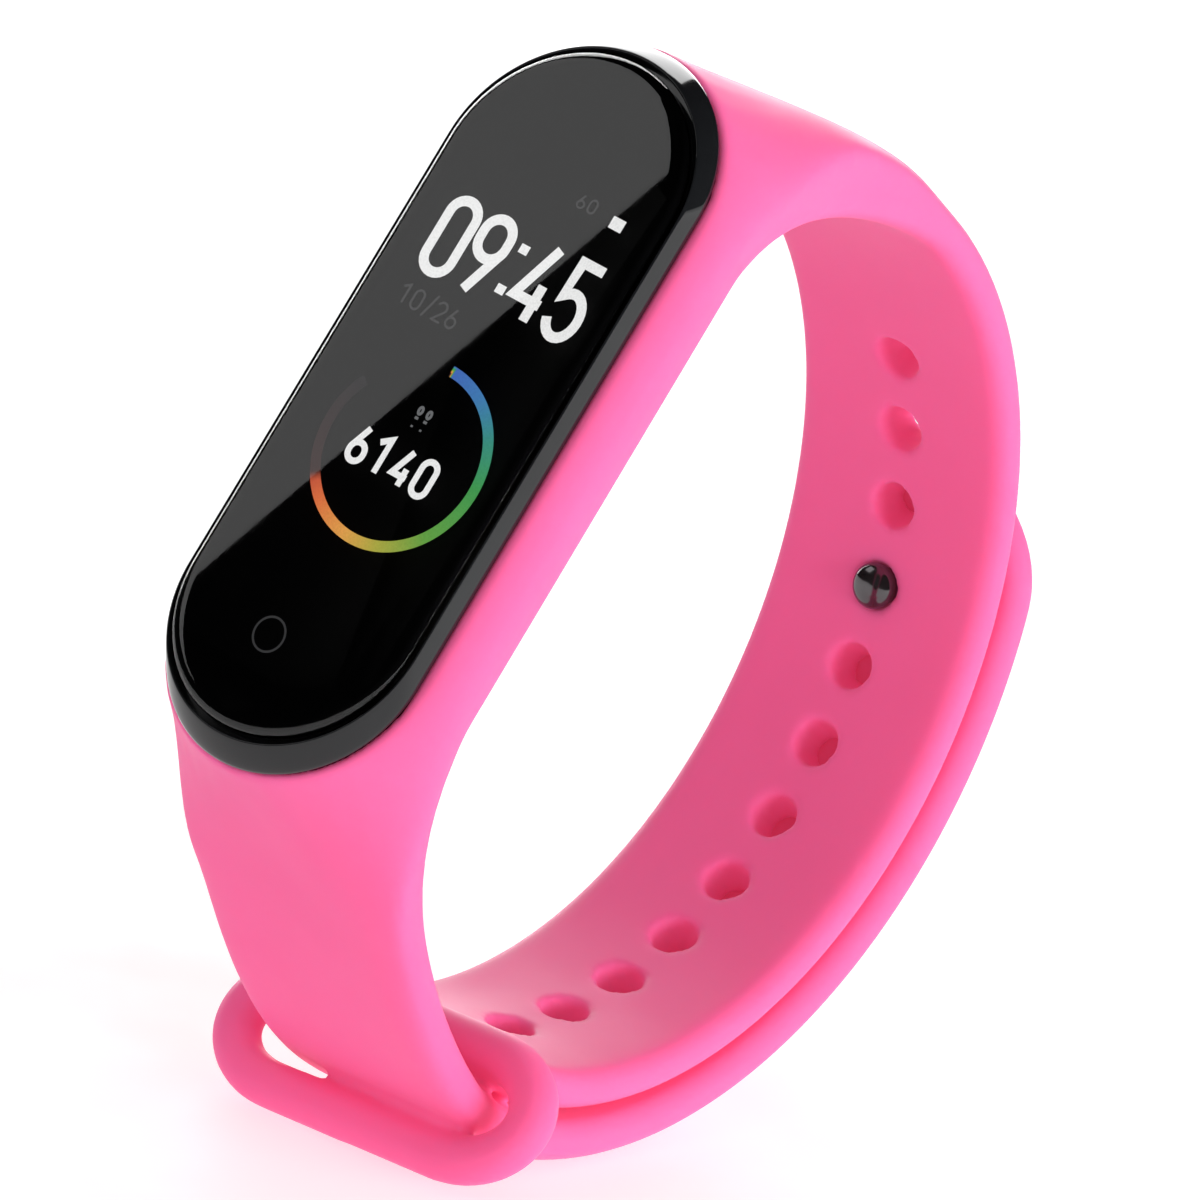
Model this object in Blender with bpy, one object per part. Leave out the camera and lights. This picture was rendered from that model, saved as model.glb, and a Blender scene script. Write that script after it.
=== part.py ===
"""Fitness tracker on a soft wristband, closed as on a wrist and set down on its strap.

Everything is laid out in the band's own millimetres and then stood up on the floor:
X runs along the display, Y across the band, and Z out of the glass. The origin of that
layout is the middle of the case, level with the top edge of the cradle.
"""

import math

import bmesh
import bpy
from mathutils import Matrix, Vector

MM = 0.001
CLEAR = 0.3  # gap between pieces that touch on the real object

# Tracker case, a capsule shape seen from above
CASE_LENGTH = 46.3
CASE_WIDTH = 15.9
CASE_BOTTOM = -9.6
FLANGE = 0.4  # the bezel overhangs the cradle's lip by this much all round
RIM_LENGTH = 45.0
RIM_WIDTH = 16.5
RIM_HEIGHT = 1.65
WALL = 0.8
GLASS_LENGTH = 43.9
GLASS_WIDTH = 15.8
GLASS_TOP = 2.25
GLASS_THICKNESS = 1.1

# Strap, one soft moulding with the cradle
STRAP_THICKNESS = 2.6
STRAP_HALF_WIDTH = 7.7
ARC_CENTRE = (-0.56, -23.96)  # the hole strap lies on this circle, in X and Z
ARC_INNER_RADIUS = 26.1
STRAP_GAP = 0.56  # air between the hole strap and the tail that lies on it

# Cradle, whose ends run down into the straps
CRADLE_STRAIGHT = 15.1  # half the length of its straight sides
CRADLE_TOP = -CLEAR
CRADLE_BOTTOM = -4.9
CRADLE_RIM_HALF_WIDTH = 8.8
SWELL = 1.2  # how far the sides swell out
SWELL_DEPTH = 2.8  # the depth at which they are widest
END_SWELL = 0.35
HOLE_STRAP_DEPTH = -ARC_CENTRE[1]  # here the hole strap runs straight down, onto its circle
HOLE_STRAP_THROAT = (18.5, 7.0)  # the inner face leaves the cradle here: X and depth
PEG_STRAP_X = -30.1  # middle of the peg strap's thickness where it passes the keeper loop
PEG_STRAP_THROAT = (-14.0, 7.0)

# Row of adjusting holes, counted from the 12 o'clock end
HOLE_COUNT = 12
HOLE_PITCH_DEG = 10.9
FIRST_HOLE_DEG = -29.0
HOLE_RADIUS = 1.6
PEG_HOLE = 3  # the peg sits in the fourth hole
TAIL_END_DEG = -47.5
TIP_CLOSING = 0.35  # the tail's tip closes up towards the hole strap by this much
TAIL_BENDS_DEG = (-100.0, -82.0)  # where the tail flexes as its end is lifted off

# Keeper loop at the end of the hole strap
LOOP_LEVEL = -28.6
LOOP_INNER_X = -26.75
LOOP_OUTER_X = -33.6
LOOP_HALF_WIDTH = 10.4
LOOP_END = 4.2  # how far along Y each end takes to turn from one bar to the other
LOOP_BAR_RADIUS = 1.45
LOOP_SKEW = 0.035  # the soft loop sits a little askew: this far along X for each millimetre of Y
LOOP_RISE_DEG = -155.0  # from here the hole strap rises into the loop's inner bar
LOOP_RISE_RADIUS = 16.2

# Peg
PEG_RADIUS = 1.05
PEG_HEAD_RADIUS = 1.38
PEG_STANDS_PROUD = 0.95
CAP_RADIUS = 3.0
TIP_RADIUS = 6.5

STADIUM_STEPS = 12
EDGE_STEPS = 4
LOOP_SIDES = 12

MID_RADIUS = ARC_INNER_RADIUS + STRAP_THICKNESS / 2
TAIL_RADIUS = MID_RADIUS + STRAP_THICKNESS + STRAP_GAP
PEG_DEG = FIRST_HOLE_DEG - PEG_HOLE * HOLE_PITCH_DEG


# ---------------------------------------------------------------- scene and materials


def clear_scene():
    for obj in list(bpy.data.objects):
        bpy.data.objects.remove(obj)


def material(name, colour, roughness, metallic=0.0):
    found = bpy.data.materials.get(name)
    if found:
        return found
    made = bpy.data.materials.new(name)
    made.use_nodes = True
    shader = made.node_tree.nodes["Principled BSDF"]
    shader.inputs["Base Color"].default_value = (*colour, 1.0)
    shader.inputs["Roughness"].default_value = roughness
    shader.inputs["Metallic"].default_value = metallic
    made.diffuse_color = (*colour, 1.0)
    return made


def pink_silicone():
    return material("pink_silicone", (0.85, 0.10, 0.27), 0.55)


def black_gloss():
    return material("black_gloss_plastic", (0.012, 0.012, 0.014), 0.15)


def black_glass():
    return material("black_glass", (0.004, 0.004, 0.005), 0.05)


def dark_metal():
    return material("dark_metal", (0.10, 0.10, 0.11), 0.2, 1.0)


def steel():
    return material("steel", (0.55, 0.55, 0.57), 0.3, 1.0)


def gold_contact():
    return material("gold_contact", (0.80, 0.56, 0.22), 0.3, 1.0)


def board_green():
    return material("board_green", (0.02, 0.16, 0.07), 0.5)


def black_matte():
    return material("black_matte_plastic", (0.02, 0.02, 0.02), 0.6)


def grey_foil():
    return material("grey_foil", (0.45, 0.46, 0.48), 0.4, 0.6)


def amber_film():
    return material("amber_film", (0.55, 0.25, 0.04), 0.4)


def clear_plastic():
    return material("clear_plastic", (0.03, 0.03, 0.03), 0.1)


def led_green():
    return material("led_green", (0.10, 0.60, 0.15), 0.3)


# ---------------------------------------------------------------- mesh building


def add_object(name, bm, finish, smooth_deg=35.0):
    """A named object from a bmesh in the layout's millimetres."""
    bmesh.ops.remove_doubles(bm, verts=bm.verts, dist=1e-5)
    bmesh.ops.recalc_face_normals(bm, faces=bm.faces)
    bmesh.ops.scale(bm, vec=(MM, MM, MM), verts=bm.verts)
    mesh = bpy.data.meshes.new(name)
    bm.to_mesh(mesh)
    bm.free()
    mesh.shade_smooth()
    mesh.set_sharp_from_angle(angle=math.radians(smooth_deg))
    obj = bpy.data.objects.new(name, mesh)
    obj.data.materials.append(finish)
    bpy.context.scene.collection.objects.link(obj)
    return obj


def bridge(bm, first, second):
    count = len(first)
    for i in range(count):
        j = (i + 1) % count
        bm.faces.new((first[i], first[j], second[j], second[i]))


def loft(name, rings, finish, closed=False):
    """Joins rings of points. A closed loft runs back to its first ring, and an open one is capped."""
    bm = bmesh.new()
    loops = [[bm.verts.new(point) for point in ring] for ring in rings]
    for first, second in zip(loops[:-1], loops[1:]):
        bridge(bm, first, second)
    if closed:
        bridge(bm, loops[-1], loops[0])
    else:
        bm.faces.new(loops[0])
        bm.faces.new(loops[-1])
    return add_object(name, bm, finish)


def stadium(length, width, z, centre_x=0.0, steps=STADIUM_STEPS):
    """Points round a capsule outline at height z."""
    radius = width / 2
    straight = length / 2 - radius
    points = []
    for side, start in ((1, -90.0), (-1, 90.0)):
        for i in range(steps + 1):
            angle = math.radians(start + 180.0 * i / steps)
            x = centre_x + side * straight + radius * math.cos(angle)
            points.append((x, radius * math.sin(angle), z))
    return points


def stadium_levels(levels, **placing):
    return [stadium(length, width, z, **placing) for length, width, z in levels]


def block(name, size, centre, finish):
    bm = bmesh.new()
    bmesh.ops.create_cube(bm, size=1.0)
    bmesh.ops.scale(bm, vec=size, verts=bm.verts)
    bmesh.ops.translate(bm, vec=centre, verts=bm.verts)
    return add_object(name, bm, finish)


def turned(name, profile, finish, centre=(0.0, 0.0), steps=20):
    """A solid turned about a line along Z. The profile is (radius, z) from one end of the line to the other."""
    rings = []
    for radius, z in profile:
        ring = []
        for i in range(steps):
            angle = 2 * math.pi * i / steps
            x = centre[0] + radius * math.cos(angle)
            y = centre[1] + radius * math.sin(angle)
            ring.append((x, y, z))
        rings.append(ring)
    return loft(name, rings, finish)


def combine(obj, tool, operation):
    """Joins the tool to the object, or cuts it out, and leaves the tool as a hidden helper."""
    tool.hide_render = True
    tool.display_type = "WIRE"
    modifier = obj.modifiers.new(tool.name, "BOOLEAN")
    modifier.operation = operation
    modifier.object = tool


# ---------------------------------------------------------------- strap sections


def on_arc(radius, degrees):
    angle = math.radians(degrees)
    return (ARC_CENTRE[0] + radius * math.cos(angle), ARC_CENTRE[1] + radius * math.sin(angle))


def on_circle(radius, start_deg, end_deg, step_deg):
    """(x, z, heading) along a circle about the strap's centre, with the heading in degrees."""
    count = max(1, round(abs(end_deg - start_deg) / step_deg))
    way = math.copysign(90.0, end_deg - start_deg)
    stretch = []
    for i in range(count + 1):
        degrees = start_deg + (end_deg - start_deg) * i / count
        stretch.append((*on_arc(radius, degrees), degrees + way))
    return stretch


def bend(start, radius, turn, step=3.0):
    """(x, z, heading) along an arc that leaves the start tangentially. A negative turn is clockwise."""
    side = math.copysign(1.0, turn)
    x, z, heading = start
    normal = math.radians(heading + 90.0 * side)
    centre_x = x + radius * math.cos(normal)
    centre_z = z + radius * math.sin(normal)
    count = max(1, round(radius * math.radians(abs(turn)) / step))
    line = [start]
    for i in range(1, count + 1):
        now = heading + turn * i / count
        back = math.radians(now - 90.0 * side)
        line.append((centre_x + radius * math.cos(back), centre_z + radius * math.sin(back), now))
    return line


def eased(value):
    value = min(1.0, max(0.0, value))
    return value * value * (3 - 2 * value)


def section(outer, inner, half_width, outer_edge, inner_edge):
    """Points round a flat section between two points in X and Z. Each edge is (along Y, through the
    thickness), the two radii of its rounding."""
    across = Vector((outer[0] - inner[0], 0.0, outer[1] - inner[1]))
    thickness = across.length
    across.normalize()
    points = []
    quarters = ((1, 1, 90.0), (1, -1, 0.0), (-1, -1, -90.0), (-1, 1, -180.0))
    for side, face, start in quarters:
        along, deep = outer_edge if face > 0 else inner_edge
        middle = thickness - deep if face > 0 else deep
        for i in range(EDGE_STEPS + 1):
            angle = math.radians(start - 90.0 * i / EDGE_STEPS)
            y = side * (half_width - along) + along * math.cos(angle)
            out = middle + deep * math.sin(angle)
            points.append((inner[0] + across.x * out, y, inner[1] + across.z * out))
    return points


def strap_sections(line, half_widths, outward, thickness=STRAP_THICKNESS):
    """Sections square to a centre line. Outward is 1 where the outer face lies left of the heading."""
    edge = (thickness / 2 - 0.02, thickness / 2 - 0.02)
    rings = []
    for (x, z, heading), half_width in zip(line, half_widths):
        across = math.radians(heading + 90.0 * outward)
        step_x = math.cos(across) * thickness / 2
        step_z = math.sin(across) * thickness / 2
        outer = (x + step_x, z + step_z)
        inner = (x - step_x, z - step_z)
        rings.append(section(outer, inner, half_width, edge, edge))
    return rings


def rounded_end(line, radius):
    """Half widths that close in a round tip at the end of the line."""
    travelled = [0.0]
    for (x0, z0, _), (x1, z1, _) in zip(line[:-1], line[1:]):
        travelled.append(travelled[-1] + math.hypot(x1 - x0, z1 - z0))
    widths = []
    for here in travelled:
        left = min(radius, travelled[-1] - here)
        widths.append(STRAP_HALF_WIDTH - radius + math.sqrt(radius**2 - (radius - left) ** 2))
    return [max(width, STRAP_THICKNESS / 2) for width in widths]


# ---------------------------------------------------------------- cradle and straps


def side_half_width(depth):
    """How wide the cradle and the roots of the straps are at this depth under the glass."""
    flare = (CRADLE_RIM_HALF_WIDTH - STRAP_HALF_WIDTH) * (1 - eased(depth / 10.0))
    rise = depth / SWELL_DEPTH
    return STRAP_HALF_WIDTH + flare + SWELL * (rise * math.exp(1 - rise)) ** 2


def end_swell(depth):
    return CRADLE_STRAIGHT + CRADLE_RIM_HALF_WIDTH + END_SWELL * eased(depth / SWELL_DEPTH)


def hole_strap_outer(depth):
    full = on_arc(ARC_INNER_RADIUS + STRAP_THICKNESS, 0.0)[0] - end_swell(SWELL_DEPTH)
    gone = min(1.0, max(0.0, depth - SWELL_DEPTH) / 17.0)
    return end_swell(depth) + full * (1 - (1 - gone) ** 2)


def peg_strap_outer(depth):
    full = -PEG_STRAP_X + STRAP_THICKNESS / 2 - end_swell(SWELL_DEPTH)
    gone = (depth - SWELL_DEPTH) / (-LOOP_LEVEL - SWELL_DEPTH)
    return -(end_swell(depth) + full * eased(gone))


def throat(depth, start, end_x, end_depth, power, corner):
    """The inner face, which sweeps from under the case down into the strap. A low corner turns sharply."""
    left = (end_depth - max(depth, start[1])) / (end_depth - start[1])
    return start[0] + (end_x - start[0]) * (1 - left**power) ** corner


def hole_strap_inner(depth):
    end_x = on_arc(ARC_INNER_RADIUS, 0.0)[0]
    return throat(depth, HOLE_STRAP_THROAT, end_x, HOLE_STRAP_DEPTH, 1.3, 1.0)


def peg_strap_inner(depth):
    end_x = PEG_STRAP_X + STRAP_THICKNESS / 2
    return throat(depth, PEG_STRAP_THROAT, end_x, -LOOP_LEVEL, 1.5, 0.53)


def edge_at(depth, half_width):
    """The rounding of the outer edges: a half circle at the cradle, and full round at the strap."""
    strap_edge = STRAP_THICKNESS / 2 - 0.02
    edge = strap_edge + (half_width - strap_edge) * (1 - eased(depth / 12.0))
    return (edge, edge)


def cradle_block():
    """The cradle from its lip to the lower edge of its sides, still solid."""
    rings = []
    levels = 9
    for i in range(levels):
        depth = -CRADLE_TOP + (CRADLE_TOP - CRADLE_BOTTOM) * i / (levels - 1)
        pinch = 0.35 if i == 0 else 0.7 if i == levels - 1 else 0.0
        half_width = side_half_width(depth) - pinch
        edge = edge_at(0.0, half_width)
        outer = (hole_strap_outer(depth) - pinch, -depth)
        inner = (peg_strap_outer(depth) + pinch, -depth)
        rings.append(section(outer, inner, half_width, edge, edge))
    return loft("cradle_block", rings, pink_silicone())


def root_sections(outer_at, inner_at, end_depth):
    """Level slices from inside the cradle block down to where the strap runs straight down."""
    start_depth = -CRADLE_BOTTOM - 0.6
    steps = 14
    strap_edge = STRAP_THICKNESS / 2 - 0.02
    rings = []
    for i in range(steps + 1):
        depth = start_depth + (end_depth - start_depth) * i / steps
        inset = 0.4 if i == 0 else 0.0
        half_width = side_half_width(depth) - inset
        side = math.copysign(1.0, outer_at(depth))
        outer = (outer_at(depth) - side * inset, -depth)
        inner = (inner_at(depth), -depth)
        room = abs(outer[0] - inner[0]) - strap_edge - 0.02
        along, deep = edge_at(depth, half_width)
        edge = (along, min(deep, room))
        rings.append(section(outer, inner, half_width, edge, (strap_edge, strap_edge)))
    return rings


def hole_strap():
    """From the cradle's 12 o'clock end, round the holes and up into the keeper loop's inner bar."""
    rings = root_sections(hole_strap_outer, hole_strap_inner, HOLE_STRAP_DEPTH)
    line = on_circle(MID_RADIUS, 0.0, LOOP_RISE_DEG, 4.5)
    line += bend(line[-1], LOOP_RISE_RADIUS, -180.0 - LOOP_RISE_DEG)[1:]
    rings += strap_sections(line, [STRAP_HALF_WIDTH] * len(line), outward=1)[1:]
    return loft("hole_strap", rings, pink_silicone())


def peg_strap():
    """From the cradle's 6 o'clock end, down through the keeper loop and round outside the hole strap."""
    rings = root_sections(peg_strap_outer, peg_strap_inner, -LOOP_LEVEL)
    start = (PEG_STRAP_X, LOOP_LEVEL, -90.0)
    off_x = ARC_CENTRE[0] - start[0]
    off_z = ARC_CENTRE[1] - start[1]
    radius = (TAIL_RADIUS**2 - off_x**2 - off_z**2) / (2 * (TAIL_RADIUS - off_x))
    turn = math.degrees(math.atan2(off_z, off_x - radius))
    line = bend(start, radius, turn)
    line += on_circle(TAIL_RADIUS, turn - 180.0, TAIL_BENDS_DEG[0], 5.0)[1:]
    rings += strap_sections(line, [STRAP_HALF_WIDTH] * len(line), outward=-1)[1:]
    return loft("peg_strap", rings, pink_silicone())


def radial_frame(degrees):
    """Carries Z onto the outward line of the strap circle at this angle."""
    turn = Matrix.Rotation(math.radians(90.0 - degrees), 4, "Y")
    place = Matrix.Translation((ARC_CENTRE[0] * MM, 0.0, ARC_CENTRE[1] * MM))
    return place @ turn


def adjusting_hole(number):
    past_outer_face = ARC_INNER_RADIUS + STRAP_THICKNESS + 2.0
    profile = [(HOLE_RADIUS, ARC_INNER_RADIUS - 2.0), (HOLE_RADIUS, past_outer_face)]
    obj = turned(f"adjusting_hole_{number + 1}", profile, black_matte(), steps=16)
    obj.data.transform(radial_frame(FIRST_HOLE_DEG - number * HOLE_PITCH_DEG))
    return obj


def case_room():
    """The room that the case fills and sweeps through as it is pushed out of the cradle."""
    levels = [(length + 2 * CLEAR, width + 2 * CLEAR, z) for length, width, z in CASE_LEVELS]
    levels[0] = (*levels[0][:2], 5.0)
    levels[-1] = (*levels[-1][:2], levels[-1][2] - 2.0)
    return loft("case_room", stadium_levels(levels), black_matte())


def loop_route(steps=6):
    """(x, y) and the outward direction round the keeper loop, whose ends are half ellipses."""
    middle_x = (LOOP_OUTER_X + LOOP_INNER_X) / 2
    half_gap = (LOOP_INNER_X - LOOP_OUTER_X) / 2
    route = []
    for side in (1, -1):
        for i in range(2 * steps + 1):
            angle = math.radians(90.0 * (1 - side) + 180.0 * i / (2 * steps))
            x = middle_x + half_gap * math.cos(angle)
            y = side * (LOOP_HALF_WIDTH - LOOP_END) + LOOP_END * math.sin(angle)
            outward = Vector((math.cos(angle) / half_gap, math.sin(angle) / LOOP_END, 0.0)).normalized()
            route.append((x - LOOP_SKEW * y, y, outward))
    return route


def keeper_loop():
    rings = []
    for x, y, outward in loop_route():
        ring = []
        for i in range(LOOP_SIDES):
            angle = 2 * math.pi * i / LOOP_SIDES
            reach = outward * (LOOP_BAR_RADIUS * math.cos(angle))
            ring.append((x + reach.x, y + reach.y, LOOP_LEVEL + LOOP_BAR_RADIUS * math.sin(angle)))
        rings.append(ring)
    return loft("keeper_loop", rings, pink_silicone(), closed=True)


def band_moulding():
    """Cradle, both straps and keeper loop, which are moulded in one piece of silicone."""
    band = cradle_block()
    band.name = "band_moulding"
    for piece in (hole_strap(), peg_strap(), keeper_loop()):
        combine(band, piece, "UNION")
    combine(band, case_room(), "DIFFERENCE")
    for number in range(HOLE_COUNT):
        combine(band, adjusting_hole(number), "DIFFERENCE")
    return band


# ---------------------------------------------------------------- tail and peg


def tail_middle():
    gap_deg = math.degrees(CLEAR / TAIL_RADIUS)
    line = on_circle(TAIL_RADIUS, TAIL_BENDS_DEG[0] + gap_deg, TAIL_BENDS_DEG[1], 4.5)
    widths = [STRAP_HALF_WIDTH] * len(line)
    return loft("tail_middle", strap_sections(line, widths, outward=-1), pink_silicone())


def closed_up(line):
    """Draws the last stretch of the tail in, from the peg to the tip."""
    drawn = []
    for x, z, heading in line:
        past_peg = (heading - 90.0 - PEG_DEG) / (TAIL_END_DEG - PEG_DEG)
        inward = math.radians(heading + 90.0)
        shift = TIP_CLOSING * eased(past_peg)
        drawn.append((x + shift * math.cos(inward), z + shift * math.sin(inward), heading))
    return drawn


def tail_tip():
    """The free end of the peg strap, with the seat for the peg."""
    gap_deg = math.degrees(CLEAR / TAIL_RADIUS)
    line = closed_up(on_circle(TAIL_RADIUS, TAIL_BENDS_DEG[1] + gap_deg, TAIL_END_DEG, 2.5))
    widths = rounded_end(line, TIP_RADIUS)
    obj = loft("tail_tip", strap_sections(line, widths, outward=-1), pink_silicone())
    reach = STRAP_THICKNESS
    profile = [(PEG_RADIUS + CLEAR, TAIL_RADIUS - reach), (PEG_RADIUS + CLEAR, TAIL_RADIUS + reach)]
    seat = turned("peg_seat", profile, black_matte(), steps=16)
    seat.data.transform(radial_frame(PEG_DEG))
    combine(obj, seat, "DIFFERENCE")
    return obj


def peg_stud():
    """A round pin that runs through both straps, with a domed head inside the band."""
    head_top = ARC_INNER_RADIUS - PEG_STANDS_PROUD
    profile = [
        (0.35, head_top),
        (0.95, head_top + 0.22),
        (PEG_HEAD_RADIUS, head_top + 0.7),
        (PEG_HEAD_RADIUS, head_top + 1.15),
        (PEG_RADIUS, head_top + 1.5),
        (PEG_RADIUS, TAIL_RADIUS + STRAP_THICKNESS / 2 - 0.1),
    ]
    obj = turned("peg_stud", profile, dark_metal(), steps=18)
    obj.data.transform(radial_frame(PEG_DEG))
    return obj


def peg_cap():
    """The round plate outside the tail that the stud is riveted to."""
    foot = TAIL_RADIUS + STRAP_THICKNESS / 2 + 0.2
    profile = [
        (CAP_RADIUS - 0.2, foot),
        (CAP_RADIUS, foot + 0.2),
        (CAP_RADIUS - 0.25, foot + 0.65),
        (1.6, foot + 0.8),
    ]
    obj = turned("peg_cap", profile, dark_metal(), steps=24)
    obj.data.transform(radial_frame(PEG_DEG))
    return obj


# ---------------------------------------------------------------- tracker case

SEAM = -1.3  # the upper case ends here and the rear case begins
CASE_LEVELS = (
    (CASE_LENGTH, CASE_WIDTH, 0.0),
    (CASE_LENGTH, CASE_WIDTH, -4.6),
    (CASE_LENGTH - 1.1, CASE_WIDTH - 1.1, -6.8),
    (CASE_LENGTH - 2.8, CASE_WIDTH - 2.8, -8.6),
    (CASE_LENGTH - 4.6, CASE_WIDTH - 4.6, CASE_BOTTOM),
)
LEDGE_TOP = GLASS_TOP - GLASS_THICKNESS - 0.2
WINDOW_X = -12.5  # heart-rate window, towards the peg strap
WINDOW_RADIUS = 4.0
PIN_X = 17.0
PIN_SPACING = 5.0
FLOOR_TOP = CASE_BOTTOM + WALL


def cover_glass():
    levels = (
        (GLASS_LENGTH - 0.6, GLASS_WIDTH - 0.6, GLASS_TOP - GLASS_THICKNESS),
        (GLASS_LENGTH, GLASS_WIDTH, GLASS_TOP - 0.7),
        (GLASS_LENGTH - 0.3, GLASS_WIDTH - 0.3, GLASS_TOP - 0.3),
        (GLASS_LENGTH - 1.0, GLASS_WIDTH - 1.0, GLASS_TOP - 0.07),
        (GLASS_LENGTH - 2.2, GLASS_WIDTH - 2.2, GLASS_TOP),
    )
    return loft("cover_glass", stadium_levels(levels), black_glass())


def bezel_ring():
    """The upper case: a ring whose sloped rim frames the glass, with a ledge that carries it."""
    opening = (GLASS_LENGTH + 0.7, GLASS_WIDTH + 0.5)
    hollow = (CASE_LENGTH - 2 * WALL - 1.4, CASE_WIDTH - 2 * WALL - 1.4)
    levels = (
        (CASE_LENGTH, CASE_WIDTH, SEAM + 0.15),
        (CASE_LENGTH, CASE_WIDTH, 0.0),
        (CASE_LENGTH + 2 * FLANGE, CASE_WIDTH + 2 * FLANGE, 0.05),
        (RIM_LENGTH, RIM_WIDTH, RIM_HEIGHT),
        (*opening, RIM_HEIGHT),
        (*opening, LEDGE_TOP),
        (*hollow, LEDGE_TOP),
        (*hollow, SEAM + 0.15),
    )
    return loft("bezel_ring", stadium_levels(levels), black_gloss(), closed=True)


def rear_case():
    """A thin tub under the bezel, with openings for the sensor window and the charging pins."""
    outside = [(CASE_LENGTH, CASE_WIDTH, SEAM - 0.15), *CASE_LEVELS[1:]]
    inside = [
        (CASE_LENGTH - 6.4, CASE_WIDTH - 6.4, FLOOR_TOP),
        (CASE_LENGTH - 4.0, CASE_WIDTH - 4.0, -8.0),
        (CASE_LENGTH - 2 * WALL, CASE_WIDTH - 2 * WALL, -5.0),
        (CASE_LENGTH - 2 * WALL, CASE_WIDTH - 2 * WALL, SEAM - 0.15),
    ]
    obj = loft("rear_case", stadium_levels(inside + outside), black_matte())
    window = turned(
        "window_opening",
        [(WINDOW_RADIUS, CASE_BOTTOM - 1), (WINDOW_RADIUS, FLOOR_TOP + 1)],
        black_matte(),
        centre=(WINDOW_X, 0.0),
        steps=24,
    )
    pins = [
        turned(
            f"pin_opening_{side}",
            [(1.5, CASE_BOTTOM - 1), (1.5, FLOOR_TOP + 1)],
            black_matte(),
            centre=(PIN_X, y),
            steps=16,
        )
        for side, y in pin_places()
    ]
    for tool in (window, *pins):
        combine(obj, tool, "DIFFERENCE")
    return obj


def pin_places():
    return (("left", PIN_SPACING / 2), ("right", -PIN_SPACING / 2))


def case_gasket():
    """A rubber ring just inside the seam."""
    outer = (CASE_LENGTH - 2 * WALL - 0.5, CASE_WIDTH - 2 * WALL - 0.5)
    inner = (outer[0] - 0.7, outer[1] - 0.7)
    levels = (
        (*outer, SEAM - 1.0),
        (*outer, SEAM - 0.2),
        (*inner, SEAM - 0.2),
        (*inner, SEAM - 1.0),
    )
    return loft("case_gasket", stadium_levels(levels), black_matte(), closed=True)


def sensor_window():
    lens = CASE_BOTTOM - 0.35
    profile = [
        (2.6, lens),
        (WINDOW_RADIUS - CLEAR, lens + 0.3),
        (WINDOW_RADIUS - CLEAR, FLOOR_TOP - 0.1),
        (2.6, FLOOR_TOP - 0.1),
    ]
    return turned("sensor_window", profile, clear_plastic(), centre=(WINDOW_X, 0.0), steps=24)


def charging_pins():
    """Two contacts in the case's underside, each in a rubber seal."""
    made = []
    for side, y in pin_places():
        pin = [(0.8, CASE_BOTTOM + 0.1), (0.85, CASE_BOTTOM + 0.25), (0.85, FLOOR_TOP + 0.5)]
        made.append(turned(f"charging_pin_{side}", pin, gold_contact(), centre=(PIN_X, y), steps=14))
        made.append(pin_seal(side, y))
    return made


def pin_seal(side, y):
    rings = []
    base_z = CASE_BOTTOM + 0.15
    outline = ((1.3, base_z), (1.3, FLOOR_TOP), (1.0, FLOOR_TOP), (1.0, base_z))
    for radius, z in outline:
        ring = []
        for i in range(14):
            angle = 2 * math.pi * i / 14
            ring.append((PIN_X + radius * math.cos(angle), y + radius * math.sin(angle), z))
        rings.append(ring)
    return loft(f"pin_seal_{side}", rings, black_matte(), closed=True)


# ---------------------------------------------------------------- inside the tracker

BOARD_Z = -2.9
MOTOR_X = 16.2


def display_stack():
    """Touch film, display panel and the flex cable from the panel to the board."""
    film_z = LEDGE_TOP - 0.25
    panel_z = film_z - 0.95
    film = loft(
        "touch_film",
        stadium_levels(((40.0, 12.4, film_z - 0.2), (40.0, 12.4, film_z))),
        amber_film(),
    )
    panel = block("display_panel", (25.5, 12.2, 1.0), (4.0, 0.0, panel_z), black_glass())
    flex = block("display_flex", (4.4, 7.0, 0.2), (-11.5, 0.0, panel_z), amber_film())
    return [film, panel, flex]


def inner_frame():
    """A ring of plastic that carries the board and holds the battery down."""
    levels = (
        (40.5, 12.9, BOARD_Z - 0.7),
        (40.5, 12.9, BOARD_Z - 1.5),
        (37.5, 9.9, BOARD_Z - 1.5),
        (37.5, 9.9, BOARD_Z - 0.7),
    )
    return loft("inner_frame", stadium_levels(levels), black_matte(), closed=True)


def main_board():
    levels = ((41.0, 13.2, BOARD_Z - 0.4), (41.0, 13.2, BOARD_Z + 0.4))
    return loft("main_board", stadium_levels(levels), board_green())


def board_parts():
    """Components on top of the board: name, size along X and Y, middle in X and Y, height."""
    parts = (
        ("processor", 5.0, 5.0, 0.0, 0.0, 0.7, black_matte()),
        ("memory_chip", 3.0, 2.6, 5.4, 1.6, 0.6, black_matte()),
        ("motion_sensor", 2.6, 2.6, 5.4, -2.2, 0.7, black_matte()),
        ("power_chip", 2.6, 2.6, -5.2, 0.0, 0.6, black_matte()),
        ("board_connector", 2.0, 6.0, -9.6, 0.0, 0.8, gold_contact()),
        ("chip_antenna", 1.6, 6.4, 18.6, 0.0, 0.8, steel()),
    )
    foot = BOARD_Z + 0.4 + 0.15
    made = []
    for name, length, width, x, y, height, finish in parts:
        made.append(block(name, (length, width, height), (x, y, foot + height / 2), finish))
    return made


def battery():
    cell = block("battery_cell", (19.0, 9.2, 3.4), (2.2, 0.0, -6.75), grey_foil())
    guard = block("battery_guard_board", (0.8, 7.0, 2.4), (-8.0, 0.0, -6.4), board_green())
    bevel = cell.modifiers.new("round_edges", "BEVEL")
    bevel.width = 0.6 * MM
    bevel.segments = 2
    return [cell, guard]


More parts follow.
